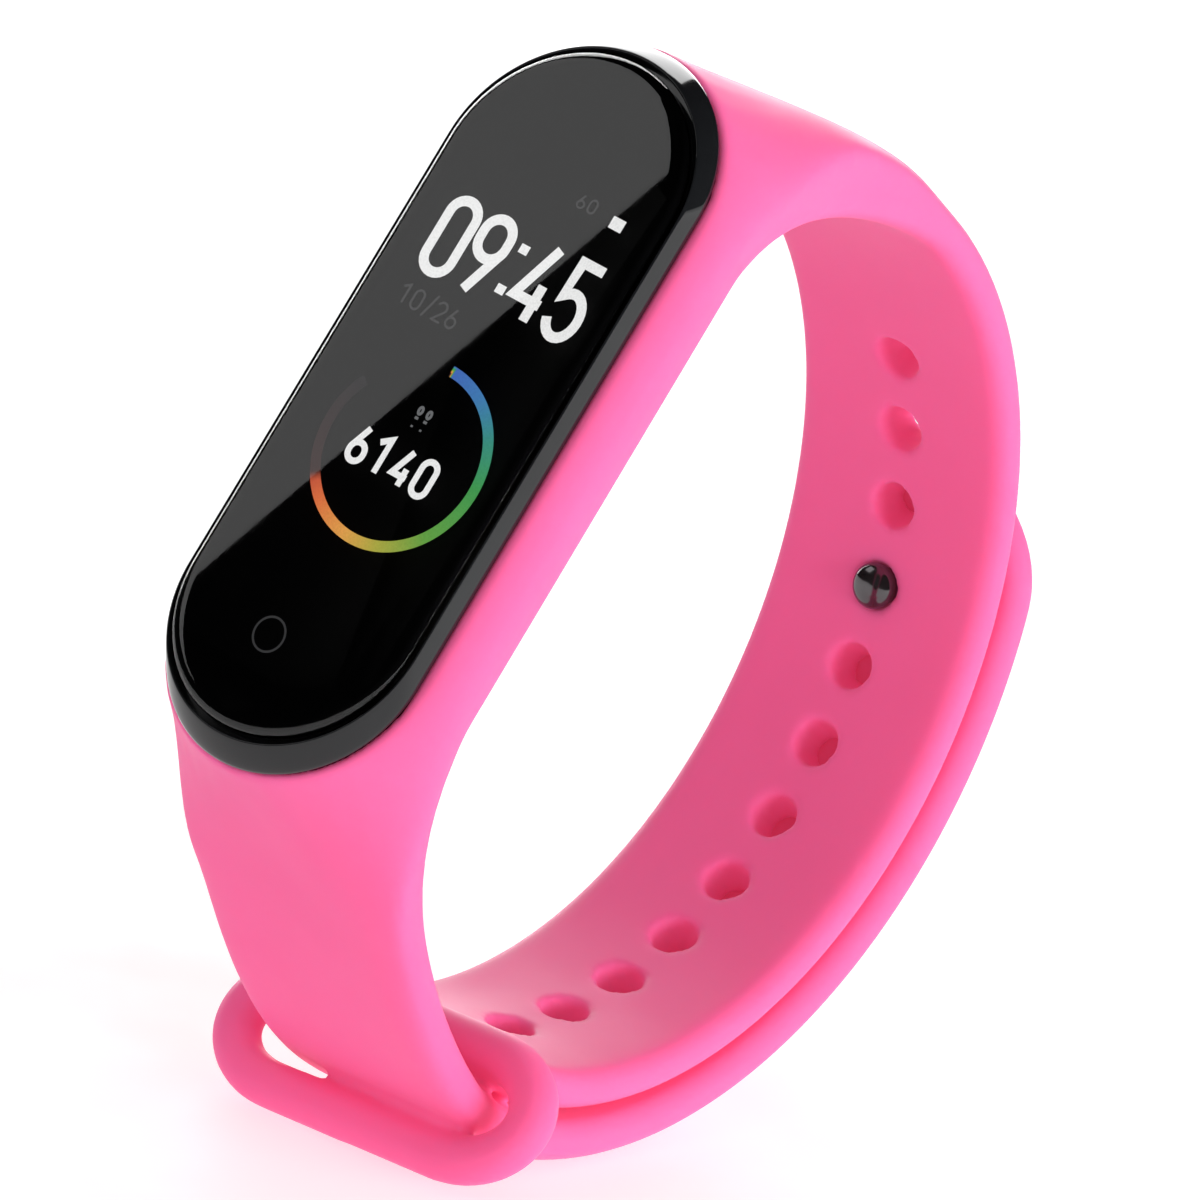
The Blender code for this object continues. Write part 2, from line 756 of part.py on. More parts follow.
def vibration_motor():
    """A coin motor: a base with a fixed shaft, an off-centre weight that spins on it, and a cover."""
    base_z = -8.0
    centre = (MOTOR_X, 0.0)
    base = turned(
        "motor_base",
        [(3.3, base_z), (3.3, base_z + 0.35)],
        steel(),
        centre=centre,
        steps=20,
    )
    shaft = turned(
        "motor_shaft",
        [(0.35, base_z + 0.45), (0.35, base_z + 2.7)],
        steel(),
        centre=centre,
        steps=12,
    )
    return [base, shaft, motor_cover(base_z)]


def motor_cover(base_z):
    rings = []
    bottom, under_top, top = base_z + 0.45, base_z + 2.85, base_z + 3.1
    wall, lining, shaft_room = 3.3, 3.1, 0.5
    levels = (
        (wall, bottom),
        (wall, top),
        (shaft_room, top),
        (shaft_room, under_top),
        (lining, under_top),
        (lining, bottom),
    )
    for radius, z in levels:
        ring = []
        for i in range(20):
            angle = 2 * math.pi * i / 20
            ring.append((MOTOR_X + radius * math.cos(angle), radius * math.sin(angle), z))
        rings.append(ring)
    return loft("motor_cover", rings, steel(), closed=True)


def motor_weight():
    """Half a disc round the shaft, so that it shakes the case as it spins."""
    low, high = -7.3, -5.4
    outline = []
    for i in range(17):
        angle = math.radians(-100.0 + 200.0 * i / 16)
        outline.append((2.75 * math.cos(angle), 2.75 * math.sin(angle)))
    for i in range(13):
        angle = math.radians(100.0 + 160.0 * i / 12)
        outline.append((0.95 * math.cos(angle), 0.95 * math.sin(angle)))
    rings = [[(MOTOR_X + x, y, z) for x, y in outline] for z in (low, high)]
    obj = loft("motor_weight", rings, steel())
    hole = turned("shaft_hole", [(0.41, low - 1), (0.41, high + 1)], steel(), centre=(MOTOR_X, 0.0), steps=12)
    combine(obj, hole, "DIFFERENCE")
    return obj


def heart_sensor():
    """Board, two green lights, a photodiode and the wall that keeps their light apart."""
    board_z = -7.55
    made = [block("heart_sensor_board", (7.4, 5.6, 0.4), (WINDOW_X, 0.0, board_z), board_green())]
    for number, x in ((1, -2.4), (2, 2.4)):
        name = f"green_light_{number}"
        made.append(block(name, (1.0, 1.4, 0.4), (WINDOW_X + x, 0.0, board_z - 0.55), led_green()))
    made.append(block("photodiode", (1.8, 1.8, 0.4), (WINDOW_X, 0.0, board_z - 0.55), black_glass()))
    made.append(light_wall(board_z))
    return made


def light_wall(board_z):
    """An open frame round the photodiode."""
    top, foot = board_z - 0.3, board_z - 0.95
    rings = []
    for half, z in ((1.5, top), (1.5, foot), (1.15, foot), (1.15, top)):
        corners = ((half, half), (-half, half), (-half, -half), (half, -half))
        rings.append([(WINDOW_X + x, y, z) for x, y in corners])
    return loft("light_wall", rings, black_matte(), closed=True)


# ---------------------------------------------------------------- assembly


def empty(name, parent, location=(0.0, 0.0, 0.0)):
    made = bpy.data.objects.new(name, None)
    made.empty_display_size = 5 * MM
    made.location = Vector(location) * MM
    made.parent = parent
    bpy.context.scene.collection.objects.link(made)
    return made


def hang_on(parent, location, pieces):
    """Parents the pieces, and moves their origins to the parent's place with the shapes left where they are."""
    shift = Vector(location) * MM
    for piece in pieces:
        piece.data.transform(Matrix.Translation(-shift))
        piece.parent = parent


def keep_with_its_piece(helper):
    """Hangs a helper where the piece that uses it hangs, so that the two turn together."""
    for obj in bpy.data.objects:
        if any(modifier.type == "BOOLEAN" and modifier.object == helper for modifier in obj.modifiers):
            helper.data.transform(Matrix.Translation(-obj.parent.location))
            helper.parent = obj.parent


def stance_deg():
    """The turn about Y that rests both the keeper loop's free bar and the peg strap on the floor."""
    strap_radius = TAIL_RADIUS + STRAP_THICKNESS / 2
    off_x = ARC_CENTRE[0] - LOOP_OUTER_X
    off_z = ARC_CENTRE[1] - LOOP_LEVEL
    lean = math.asin((strap_radius - LOOP_BAR_RADIUS) / math.hypot(off_x, off_z))
    return math.degrees(lean - math.atan2(off_z, off_x))


def stand_on_floor(root, pieces):
    """Turns the whole band to its stance, with the middle of its foot at the world's origin."""
    root.rotation_euler = (0.0, -math.radians(stance_deg()), 0.0)
    bpy.context.view_layer.update()
    graph = bpy.context.evaluated_depsgraph_get()
    low = Vector((1e9, 1e9, 1e9))
    high = -low
    for piece in pieces:
        shape = piece.evaluated_get(graph)
        for vertex in shape.data.vertices:
            point = shape.matrix_world @ vertex.co
            low = Vector(map(min, low, point))
            high = Vector(map(max, high, point))
    root.location = (-(low.x + high.x) / 2, -(low.y + high.y) / 2, -low.z)


def build():
    clear_scene()
    root = empty("stance", None)
    band = [band_moulding()]
    middle = [tail_middle()]
    tip = [tail_tip(), peg_stud(), peg_cap()]
    tracker = [cover_glass(), bezel_ring(), rear_case(), case_gasket(), sensor_window()]
    tracker += charging_pins()
    tracker += display_stack()
    tracker += [inner_frame(), main_board()]
    tracker += board_parts()
    tracker += battery()
    tracker += vibration_motor()
    tracker += heart_sensor()
    weight = [motor_weight()]

    outside = TAIL_RADIUS + STRAP_THICKNESS / 2
    first_bend = on_arc(outside, TAIL_BENDS_DEG[0])
    second_bend = on_arc(outside, TAIL_BENDS_DEG[1])
    bodies = (
        ("band_body", (0.0, 0.0, 0.0), band),
        ("tracker_body", (0.0, 0.0, 0.0), tracker),
        ("tail_middle_body", (first_bend[0], 0.0, first_bend[1]), middle),
        ("tail_tip_body", (second_bend[0], 0.0, second_bend[1]), tip),
        ("motor_weight_body", (MOTOR_X, 0.0, -6.5), weight),
    )
    helpers = [obj for obj in bpy.data.objects if obj.hide_render]
    for name, place, pieces in bodies:
        hang_on(empty(name, root, place), place, pieces)
    for helper in helpers:
        keep_with_its_piece(helper)
    stand_on_floor(root, band + middle + tip + tracker + weight)


build()
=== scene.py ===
"""Looks of the fitness tracker band: soft meshes, detailed materials, studio light and camera.

Shapes are laid out in the band's own millimetres, as the CAD is: X runs along the display
towards its 12 o'clock end, Y across the band, Z out of the glass. BAND_TO_WORLD carries them
into the frame.
"""

import math

import bmesh
import bpy
from mathutils import Matrix, Vector


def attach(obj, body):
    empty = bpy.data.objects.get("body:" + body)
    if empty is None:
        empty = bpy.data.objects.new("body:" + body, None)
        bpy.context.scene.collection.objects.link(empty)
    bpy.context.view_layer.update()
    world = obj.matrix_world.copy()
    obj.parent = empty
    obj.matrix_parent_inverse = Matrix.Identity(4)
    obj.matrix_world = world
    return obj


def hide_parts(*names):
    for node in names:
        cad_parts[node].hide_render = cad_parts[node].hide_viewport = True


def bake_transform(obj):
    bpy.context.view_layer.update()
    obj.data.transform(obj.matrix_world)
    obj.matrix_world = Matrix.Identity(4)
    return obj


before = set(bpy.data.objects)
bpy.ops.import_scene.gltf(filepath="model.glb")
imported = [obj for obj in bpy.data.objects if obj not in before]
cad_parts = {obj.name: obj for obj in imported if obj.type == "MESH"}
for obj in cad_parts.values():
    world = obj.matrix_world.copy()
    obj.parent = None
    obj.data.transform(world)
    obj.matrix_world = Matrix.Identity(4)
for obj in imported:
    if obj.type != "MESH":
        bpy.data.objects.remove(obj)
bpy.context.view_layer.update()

MM = 0.001

# How the band stands in the frame
STANCE_DEG = 57.713
STANCE_PLACE = (-0.0197173, 0.0, 0.0453141)

# Camera
CAMERA_PLACE = (-0.53973, -0.37662, 0.21809)
CAMERA_TURN_DEG = (73.824, -12.141, -51.556)
CAMERA_LENS = 360.1

# Tracker case
CASE_LENGTH = 46.3
CASE_WIDTH = 15.9
CASE_BOTTOM = -9.6
FLANGE = 0.4
RIM_LENGTH = 45.0
RIM_WIDTH = 16.5
RIM_HEIGHT = 1.65
WALL = 0.8
SEAM = -1.3  # where the upper case and the rear case meet, each this gap away from it
SEAM_GAP = 0.15
GLASS_LENGTH = 43.9
GLASS_WIDTH = 15.8
GLASS_TOP = 2.25
GLASS_BOTTOM = 1.15
GLASS_EDGE = (0.75, 0.55)  # how far in and how far down the glass rounds off
WINDOW_X = -12.5
WINDOW_RADIUS = 4.0
PIN_X = 17.0
PIN_SPACING = 5.0
PIN_OPENING_RADIUS = 1.5

# Band
STRAP_THICKNESS = 2.6
STRAP_HALF_WIDTH = 7.7
CROWN = (2.0, 1.1)  # the outer face rounds off over this much of its width and its thickness
CROWN_DEPTHS = (20.0, 12.0)  # down to here the cradle's round ends turn into that crown
INNER_EDGE = 1.15  # radius of the inner face's edges
ARC_CENTRE = (-0.56, -23.96)
ARC_INNER_RADIUS = 26.1
MID_RADIUS = 27.4
TAIL_RADIUS = 30.56
CRADLE_STRAIGHT = 15.1
CRADLE_TOP = -0.05
CRADLE_BOTTOM = -4.9
CRADLE_RIM_HALF_WIDTH = 8.65
CRADLE_FLARE_DEPTH = 15.0  # down to here the cradle narrows to the strap's width
SWELL = 1.2  # how far the cradle's sides bulge, and how deep they are widest
SWELL_DEPTH = 2.8
SWELL_POWER = 1.2
HOLE_STRAP_DEPTH = 20.0  # down to here its outer face swings out, and how early it starts to
HOLE_STRAP_LEAN = 0.5
HOLE_STRAP_THROAT = (13.0, 4.7)  # x and depth where the inner face starts, then its two powers
HOLE_STRAP_SWEEP = (1.5, 0.60)
PEG_STRAP_X = -30.1
PEG_STRAP_LEAN = 0.15
PEG_STRAP_THROAT = (-13.5, 4.7)
PEG_STRAP_SWEEP = (1.5, 0.53)
HOLE_COUNT = 12
HOLE_PITCH_DEG = 10.9
FIRST_HOLE_DEG = -29.0
HOLE_RADIUS = 1.4
HOLE_OUTER_RADIUS = 0.85  # the holes narrow to this towards the outer face
HOLE_MOUTH = 0.8  # they start to narrow at this depth
PEG_DEG = -61.7
TAIL_SPLIT_DEG = -91.0
TAIL_END_DEG = -45.5
TIP_RADIUS = 7.6
TIP_CLOSING = 0.35

# Keeper loop
LOOP_LEVEL = -28.6
LOOP_INNER_X = -26.75
LOOP_OUTER_X = -33.4
LOOP_HALF_WIDTH = 10.4
LOOP_END = 4.2
LOOP_BAR_RADIUS = 1.45
LOOP_SKEW = 0.035
LOOP_RISE_DEG = -155.0
LOOP_RISE_RADIUS = 16.2
SEAM_STEP = 6  # the peg strap's visual seam lies this many steps below the loop's level

# Peg
PEG_RADIUS = 1.05
PEG_HEAD_RADIUS = 1.38
PEG_STANDS_PROUD = 0.95
CAP_RADIUS = 3.0

# Display, laid out to the right and up from its middle
DISPLAY_LEVEL = 1.97
INK_GAP = 0.005
INK_THICKNESS = 0.02
DISPLAY_SLOPE = -0.085  # lines of text sink by this much for each millimetre to the right

# Mesh fineness
SKIN_VOXEL = 0.27
EDGE_STEPS = 8
CIRCLE_STEPS = 48
STADIUM_STEPS = 56

BAND_TO_WORLD = (
    Matrix.Translation(STANCE_PLACE)
    @ Matrix.Rotation(-math.radians(STANCE_DEG), 4, "Y")
    @ Matrix.Scale(MM, 4)
)


# ---------------------------------------------------------------- material building


def start_material(name):
    made = bpy.data.materials.new(name)
    made.use_nodes = True
    return made, made.node_tree.nodes["Principled BSDF"]


def add_node(made, kind, **settings):
    """A node whose named inputs and properties are set."""
    node = made.node_tree.nodes.new(kind)
    for key, value in settings.items():
        socket = key.replace("_", " ").title()
        if socket in node.inputs:
            node.inputs[socket].default_value = value
        else:
            setattr(node, key, value)
    return node


def wire(made, source, target):
    made.node_tree.links.new(source, target)


def place_on_object(made, stretch=(1.0, 1.0, 1.0), turn_deg=(0.0, 0.0, 0.0)):
    """Coordinates in metres that move with the object."""
    coordinates = add_node(made, "ShaderNodeTexCoord")
    mapping = add_node(made, "ShaderNodeMapping")
    mapping.inputs["Scale"].default_value = stretch
    mapping.inputs["Rotation"].default_value = [math.radians(turn) for turn in turn_deg]
    wire(made, coordinates.outputs["Object"], mapping.inputs["Vector"])
    return mapping.outputs["Vector"]


def noise(made, scale, detail=3.0, roughness=0.55, place=None):
    node = add_node(made, "ShaderNodeTexNoise", scale=scale, detail=detail, roughness=roughness)
    wire(made, place or place_on_object(made), node.inputs["Vector"])
    return node.outputs["Fac"]


def colours_from(made, value, stops):
    """Turns a value into colour through (position, colour) stops."""
    ramp = add_node(made, "ShaderNodeValToRGB")
    elements = ramp.color_ramp.elements
    while len(elements) < len(stops):
        elements.new(0.5)
    for element, (position, colour) in zip(elements, stops):
        element.position = position
        element.color = (*colour, 1.0)
    wire(made, value, ramp.inputs["Fac"])
    return ramp.outputs["Color"]


def scaled(made, value, low, high):
    """Spreads a noise value, mostly between 0.3 and 0.7, over low to high."""
    node = add_node(made, "ShaderNodeMapRange")
    node.inputs["From Min"].default_value = 0.3
    node.inputs["From Max"].default_value = 0.7
    node.inputs["To Min"].default_value = low
    node.inputs["To Max"].default_value = high
    wire(made, value, node.inputs["Value"])
    return node.outputs["Result"]


def bump(made, shader, height, strength, distance_mm):
    node = add_node(made, "ShaderNodeBump", strength=strength, distance=distance_mm * MM)
    wire(made, height, node.inputs["Height"])
    wire(made, node.outputs["Normal"], shader.inputs["Normal"])


def surface(name, tones, tone_scale, roughness, grain, **sockets):
    """A material with two tones, uneven roughness and a grain: (scale, strength, depth in mm)."""
    made, shader = start_material(name)
    mottle = noise(made, tone_scale)
    stops = ((0.3, tones[0]), (0.7, tones[1]))
    wire(made, colours_from(made, mottle, stops), shader.inputs["Base Color"])
    smear = noise(made, tone_scale * 2.3, detail=5.0)
    wire(made, scaled(made, smear, *roughness), shader.inputs["Roughness"])
    scale, strength, depth = grain
    bump(made, shader, noise(made, scale, detail=2.0), strength, depth)
    for key, value in sockets.items():
        shader.inputs[key.replace("_", " ")].default_value = value
    return made


def once(maker):
    """Keeps the material that the function makes, for every piece that asks for it."""
    kept = []

    def get():
        if not kept:
            kept.append(maker())
        return kept[0]

    return get


@once
def pink_silicone():
    made = surface(
        "pink_silicone",
        ((0.89, 0.126, 0.325), (0.92, 0.134, 0.343)),
        90.0,
        (0.44, 0.54),
        (5200.0, 0.10, 0.02),
        IOR=1.41,
        Subsurface_Weight=0.35,
        Subsurface_Scale=0.002,
        Sheen_Weight=0.06,
        Sheen_Roughness=0.4,
        # painted light: a faint pink glow all over the silicone, which lightens the holes and the
        # shaded inner faces
        Emission_Color=(1.0, 0.14, 0.34, 1.0),
        Emission_Strength=0.09,
        Specular_IOR_Level=0.12,
    )
    shader = made.node_tree.nodes["Principled BSDF"]
    shader.inputs["Subsurface Radius"].default_value = (1.0, 0.35, 0.45)
    return made


@once
def bezel_gloss():
    return surface(
        "bezel_black_gloss",
        ((0.006, 0.006, 0.007), (0.010, 0.011, 0.012)),
        160.0,
        (0.05, 0.10),
        (3000.0, 0.02, 0.01),
    )


@once
def case_matte():
    return surface(
        "case_black_matte",
        ((0.012, 0.012, 0.013), (0.020, 0.020, 0.022)),
        140.0,
        (0.38, 0.52),
        (7000.0, 0.25, 0.02),
    )


@once
def printed_mask():
    return surface(
        "printed_black_mask",
        ((0.0010, 0.0010, 0.0012), (0.0022, 0.0022, 0.0024)),
        120.0,
        (0.55, 0.70),
        (6000.0, 0.05, 0.01),
        Specular_IOR_Level=0.05,
    )


@once
def clear_glass():
    """Sees straight through to the display, and mirrors the room as glass does."""
    made, shader = start_material("clear_cover_glass")
    tree = made.node_tree
    output = tree.nodes["Material Output"]
    tree.nodes.remove(shader)
    through = add_node(made, "ShaderNodeBsdfTransparent")
    through.inputs["Color"].default_value = (0.97, 0.975, 0.98, 1.0)
    mirror = add_node(made, "ShaderNodeBsdfAnisotropic")
    mirror.inputs["Color"].default_value = (1.0, 1.0, 1.0, 1.0)
    smear = noise(made, 220.0, detail=4.0)
    wire(made, scaled(made, smear, 0.004, 0.012), mirror.inputs["Roughness"])
    fresnel = add_node(made, "ShaderNodeFresnel")
    fresnel.inputs["IOR"].default_value = 1.5
    mix = add_node(made, "ShaderNodeMixShader")
    wire(made, fresnel.outputs["Fac"], mix.inputs["Fac"])
    wire(made, through.outputs[0], mix.inputs[1])
    wire(made, mirror.outputs[0], mix.inputs[2])
    wire(made, mix.outputs[0], output.inputs["Surface"])
    return made


def lit_ink(name, colour, strength):
    """Light from the display, a little uneven from pixel to pixel."""
    made, shader = start_material(name)
    dim = [0.86 * channel for channel in colour]
    glow = colours_from(made, noise(made, 9000.0, detail=2.0), ((0.3, dim), (0.6, colour)))
    wire(made, glow, shader.inputs["Emission Color"])
    shader.inputs["Emission Strength"].default_value = strength
    shader.inputs["Base Color"].default_value = (0.01, 0.01, 0.01, 1.0)
    shader.inputs["Roughness"].default_value = 0.6
    return made


@once
def white_ink():
    return lit_ink("display_white", (0.93, 0.93, 0.92), 0.95)


@once
def grey_ink():
    return lit_ink("display_grey", (0.30, 0.31, 0.32), 0.5)


@once
def faint_ink():
    return lit_ink("display_faint", (0.30, 0.30, 0.31), 0.12)


@once
def ring_ink():
    """Colours that run round the progress ring, by the share of the turn stored on its points."""
    made, shader = start_material("display_ring")
    share = add_node(made, "ShaderNodeAttribute", attribute_name="share")
    stops = (
        (0.00, (0.060, 0.145, 0.52)),
        (0.08, (0.055, 0.210, 0.47)),
        (0.16, (0.045, 0.290, 0.22)),
        (0.24, (0.055, 0.330, 0.085)),
        (0.36, (0.130, 0.370, 0.060)),
        (0.45, (0.440, 0.420, 0.060)),
        (0.52, (0.800, 0.370, 0.080)),
        (0.60, (0.760, 0.170, 0.055)),
        (0.635, (0.620, 0.110, 0.050)),
        (0.650, (0.030, 0.008, 0.008)),
        (0.83, (0.006, 0.004, 0.006)),
    )
    glow = colours_from(made, share.outputs["Fac"], stops)
    wire(made, glow, shader.inputs["Emission Color"])
    pixels = scaled(made, noise(made, 9000.0, detail=2.0), 0.85, 1.0)
    wire(made, pixels, shader.inputs["Emission Strength"])
    shader.inputs["Base Color"].default_value = (0.01, 0.01, 0.01, 1.0)
    shader.inputs["Roughness"].default_value = 0.6
    return made


@once
def peg_metal():
    return surface(
        "peg_dark_metal",
        ((0.085, 0.075, 0.080), (0.130, 0.120, 0.125)),
        400.0,
        (0.10, 0.20),
        (4000.0, 0.06, 0.01),
        Metallic=0.9,
        Coat_Weight=0.4,
    )


@once
def sensor_lens():
    return surface(
        "sensor_lens",
        ((0.010, 0.004, 0.005), (0.018, 0.008, 0.009)),
        300.0,
        (0.04, 0.10),
        (2500.0, 0.03, 0.01),
        Coat_Weight=0.6,
    )


@once
def gold_contact():
    return surface(
        "gold_contact",
        ((0.74, 0.46, 0.16), (0.86, 0.60, 0.26)),
        900.0,
        (0.18, 0.34),
        (5000.0, 0.15, 0.02),
        Metallic=1.0,
    )


@once
def rubber():
    return surface(
        "seal_rubber",
        ((0.010, 0.010, 0.010), (0.022, 0.021, 0.021)),
        500.0,
        (0.62, 0.82),
        (6000.0, 0.30, 0.03),
    )


@once
def steel():
    """Steel with fine marks that run one way."""
    made = surface(
        "brushed_steel",
        ((0.50, 0.50, 0.52), (0.62, 0.62, 0.64)),
        500.0,
        (0.22, 0.38),
        (3000.0, 0.05, 0.01),
        Metallic=1.0,
    )
    shader = made.node_tree.nodes["Principled BSDF"]
    along = place_on_object(made, stretch=(1.0, 14.0, 14.0))
    bump(made, shader, noise(made, 700.0, detail=4.0, place=along), 0.25, 0.01)
    return made


@once
def circuit_board():
    """Green solder mask over a maze of thin tracks, with scattered pads."""
    made = surface(
        "circuit_board",
        ((0.010, 0.085, 0.040), (0.020, 0.150, 0.065)),
        700.0,
        (0.30, 0.45),
        (4000.0, 0.10, 0.02),
    )
    shader = made.node_tree.nodes["Principled BSDF"]
    tracks = add_node(made, "ShaderNodeTexBrick", scale=900.0, mortar_size=0.04)
    tracks.inputs["Color1"].default_value = (0.008, 0.075, 0.035, 1.0)
    tracks.inputs["Color2"].default_value = (0.015, 0.125, 0.055, 1.0)
    tracks.inputs["Mortar"].default_value = (0.060, 0.300, 0.120, 1.0)
    wire(made, place_on_object(made, turn_deg=(0.0, -STANCE_DEG, 0.0)), tracks.inputs["Vector"])
    wire(made, tracks.outputs["Color"], shader.inputs["Base Color"])
    bump(made, shader, tracks.outputs["Fac"], 0.3, 0.02)
    return made


@once
def foil():
    return surface(
        "battery_foil",
        ((0.46, 0.47, 0.49), (0.62, 0.62, 0.63)),
        300.0,
        (0.25, 0.45),
        (1200.0, 0.30, 0.05),
        Metallic=0.8,
    )


@once
def amber_film():
    """Amber film with copper lines inside it."""
    made = surface(
        "amber_film",
        ((0.42, 0.17, 0.02), (0.55, 0.25, 0.04)),
        300.0,
        (0.20, 0.35),
        (3000.0, 0.05, 0.01),
    )
    shader = made.node_tree.nodes["Principled BSDF"]
    lines = add_node(made, "ShaderNodeTexWave", scale=900.0, distortion=0.6)
    wire(made, place_on_object(made, turn_deg=(0.0, -STANCE_DEG, 0.0)), lines.inputs["Vector"])
    stops = ((0.45, (0.46, 0.19, 0.025)), (0.65, (0.62, 0.33, 0.09)))
    wire(made, colours_from(made, lines.outputs["Fac"], stops), shader.inputs["Base Color"])
    return made


@once
def chip_black():
    return surface(
        "chip_black",
        ((0.015, 0.015, 0.016), (0.030, 0.030, 0.032)),
        900.0,
        (0.45, 0.65),
        (9000.0, 0.30, 0.02),
    )


@once
def green_led():
    return surface(
        "green_led",
        ((0.06, 0.42, 0.10), (0.12, 0.60, 0.16)),
        1500.0,
        (0.15, 0.30),
        (3000.0, 0.10, 0.02),
        Coat_Weight=0.5,
    )


@once
def floor_white():
    return surface(
        "floor_white",
        ((0.66, 0.66, 0.66), (0.69, 0.69, 0.69)),
        30.0,
        (0.55, 0.70),
        (400.0, 0.05, 0.05),
        Emission_Color=(1.0, 1.0, 1.0, 1.0),
        Emission_Strength=0.52,
        Specular_IOR_Level=0.1,
    )


# ---------------------------------------------------------------- mesh building


def mesh_object(name, bm, finish, smooth_deg=40.0):
    """An object from a bmesh, left in the band's millimetres until it is stood in the frame."""
    bmesh.ops.remove_doubles(bm, verts=bm.verts, dist=1e-5)
    bmesh.ops.recalc_face_normals(bm, faces=bm.faces)
    mesh = bpy.data.meshes.new(name)
    bm.to_mesh(mesh)
    bm.free()
    mesh.shade_smooth()
    mesh.set_sharp_from_angle(angle=math.radians(smooth_deg))
    obj = bpy.data.objects.new(name, mesh)
    mesh.materials.append(finish)
    bpy.context.scene.collection.objects.link(obj)
    return obj


def bridge(bm, first, second):
    count = len(first)
    for i in range(count):
        j = (i + 1) % count
        bm.faces.new((first[i], first[j], second[j], second[i]))


def add_loft(bm, rings, closed=False):
    """Adds a skin over rings of points. A closed one runs back to its first ring."""
    loops = [[bm.verts.new(point) for point in ring] for ring in rings]
    for first, second in zip(loops[:-1], loops[1:]):
        bridge(bm, first, second)
    if closed:
        bridge(bm, loops[-1], loops[0])
    else:
        bm.faces.new(loops[0])
        bm.faces.new(loops[-1])


def loft(name, rings, finish, closed=False, smooth_deg=40.0):
    bm = bmesh.new()
    add_loft(bm, rings, closed)
    return mesh_object(name, bm, finish, smooth_deg)


def circle(radius, z, centre=(0.0, 0.0)):
    ring = []
    for i in range(CIRCLE_STEPS):
        angle = 2 * math.pi * i / CIRCLE_STEPS
        ring.append((centre[0] + radius * math.cos(angle), centre[1] + radius * math.sin(angle), z))
    return ring


def turned(name, profile, finish, centre=(0.0, 0.0), closed=False):
    """A solid turned about a line along Z, from a profile of (radius, z)."""
    rings = [circle(radius, z, centre) for radius, z in profile]
    return loft(name, rings, finish, closed)


def stadium(length, width, z):
    """Points round a capsule outline at height z."""
    radius = width / 2
    straight = length / 2 - radius
    points = []
    for side, start in ((1, -90.0), (-1, 90.0)):
        for i in range(STADIUM_STEPS + 1):
            angle = math.radians(start + 180.0 * i / STADIUM_STEPS)
            points.append((side * straight + radius * math.cos(angle), radius * math.sin(angle), z))
    return points


def stadium_levels(levels):
    return [stadium(*level) for level in levels]


def rounding(outer, inward, down, end_deg, steps):
    """Levels round an edge, from an outline (length, width, top height) that the arc touches. It goes
    this far in and down, and runs from the side at 0 degrees towards the top at 90."""
    length, width, top = outer
    levels = []
    for i in range(steps + 1):
        angle = math.radians(end_deg * i / steps)
        inset = 2 * inward * (1 - math.cos(angle))
        levels.append((length - inset, width - inset, top - down * (1 - math.sin(angle))))
    return levels


def settle(obj):
    """Replaces the object's mesh by what its modifiers make of it."""
    graph = bpy.context.evaluated_depsgraph_get()
    made = bpy.data.meshes.new_from_object(obj.evaluated_get(graph))
    obj.modifiers.clear()
    obj.data = made


def skin_over(obj, voxel, passes):
    """Fuses everything in the mesh into one skin, and rounds its edges off."""
    remesh = obj.modifiers.new("one_skin", "REMESH")
    remesh.mode = "VOXEL"
    remesh.voxel_size = voxel
    rounding_off = obj.modifiers.new("rounding_off", "SMOOTH")
    rounding_off.factor = 0.5
    rounding_off.iterations = passes
    settle(obj)
    obj.data.shade_smooth()


def cut_out(obj, cutter):
    modifier = obj.modifiers.new("cut", "BOOLEAN")
    modifier.operation = "DIFFERENCE"
    modifier.solver = "MANIFOLD"
    modifier.object = cutter
    settle(obj)
    bpy.data.objects.remove(cutter)


def stand(obj, body, *nodes):
    """Stands the piece in the frame on a body, in place of these CAD nodes."""
    obj.data.transform(BAND_TO_WORLD)
    if body:
        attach(obj, body)
    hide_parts(*nodes)
    return obj


# ---------------------------------------------------------------- strap sections


def on_arc(radius, degrees):
    angle = math.radians(degrees)
    return (ARC_CENTRE[0] + radius * math.cos(angle), ARC_CENTRE[1] + radius * math.sin(angle))


def on_circle(radius, start_deg, end_deg, step_deg=1.5):
    """(x, z, heading) along a circle about the strap's centre, with the heading in degrees."""
    count = max(1, round(abs(end_deg - start_deg) / step_deg))
    way = math.copysign(90.0, end_deg - start_deg)
    stretch = []
    for i in range(count + 1):
        degrees = start_deg + (end_deg - start_deg) * i / count
        stretch.append((*on_arc(radius, degrees), degrees + way))
    return stretch


def bend(start, radius, turn):
    """(x, z, heading) along an arc that leaves the start tangentially. A negative turn is
    clockwise."""
    step = 0.8
    side = math.copysign(1.0, turn)
    x, z, heading = start
    normal = math.radians(heading + 90.0 * side)
    centre_x = x + radius * math.cos(normal)
    centre_z = z + radius * math.sin(normal)
    count = max(1, round(radius * math.radians(abs(turn)) / step))
    line = [start]
    for i in range(1, count + 1):
        now = heading + turn * i / count
        back = math.radians(now - 90.0 * side)
        line.append((centre_x + radius * math.cos(back), centre_z + radius * math.sin(back), now))
    return line


def eased(value):
    value = min(1.0, max(0.0, value))
    return value * value * (3 - 2 * value)


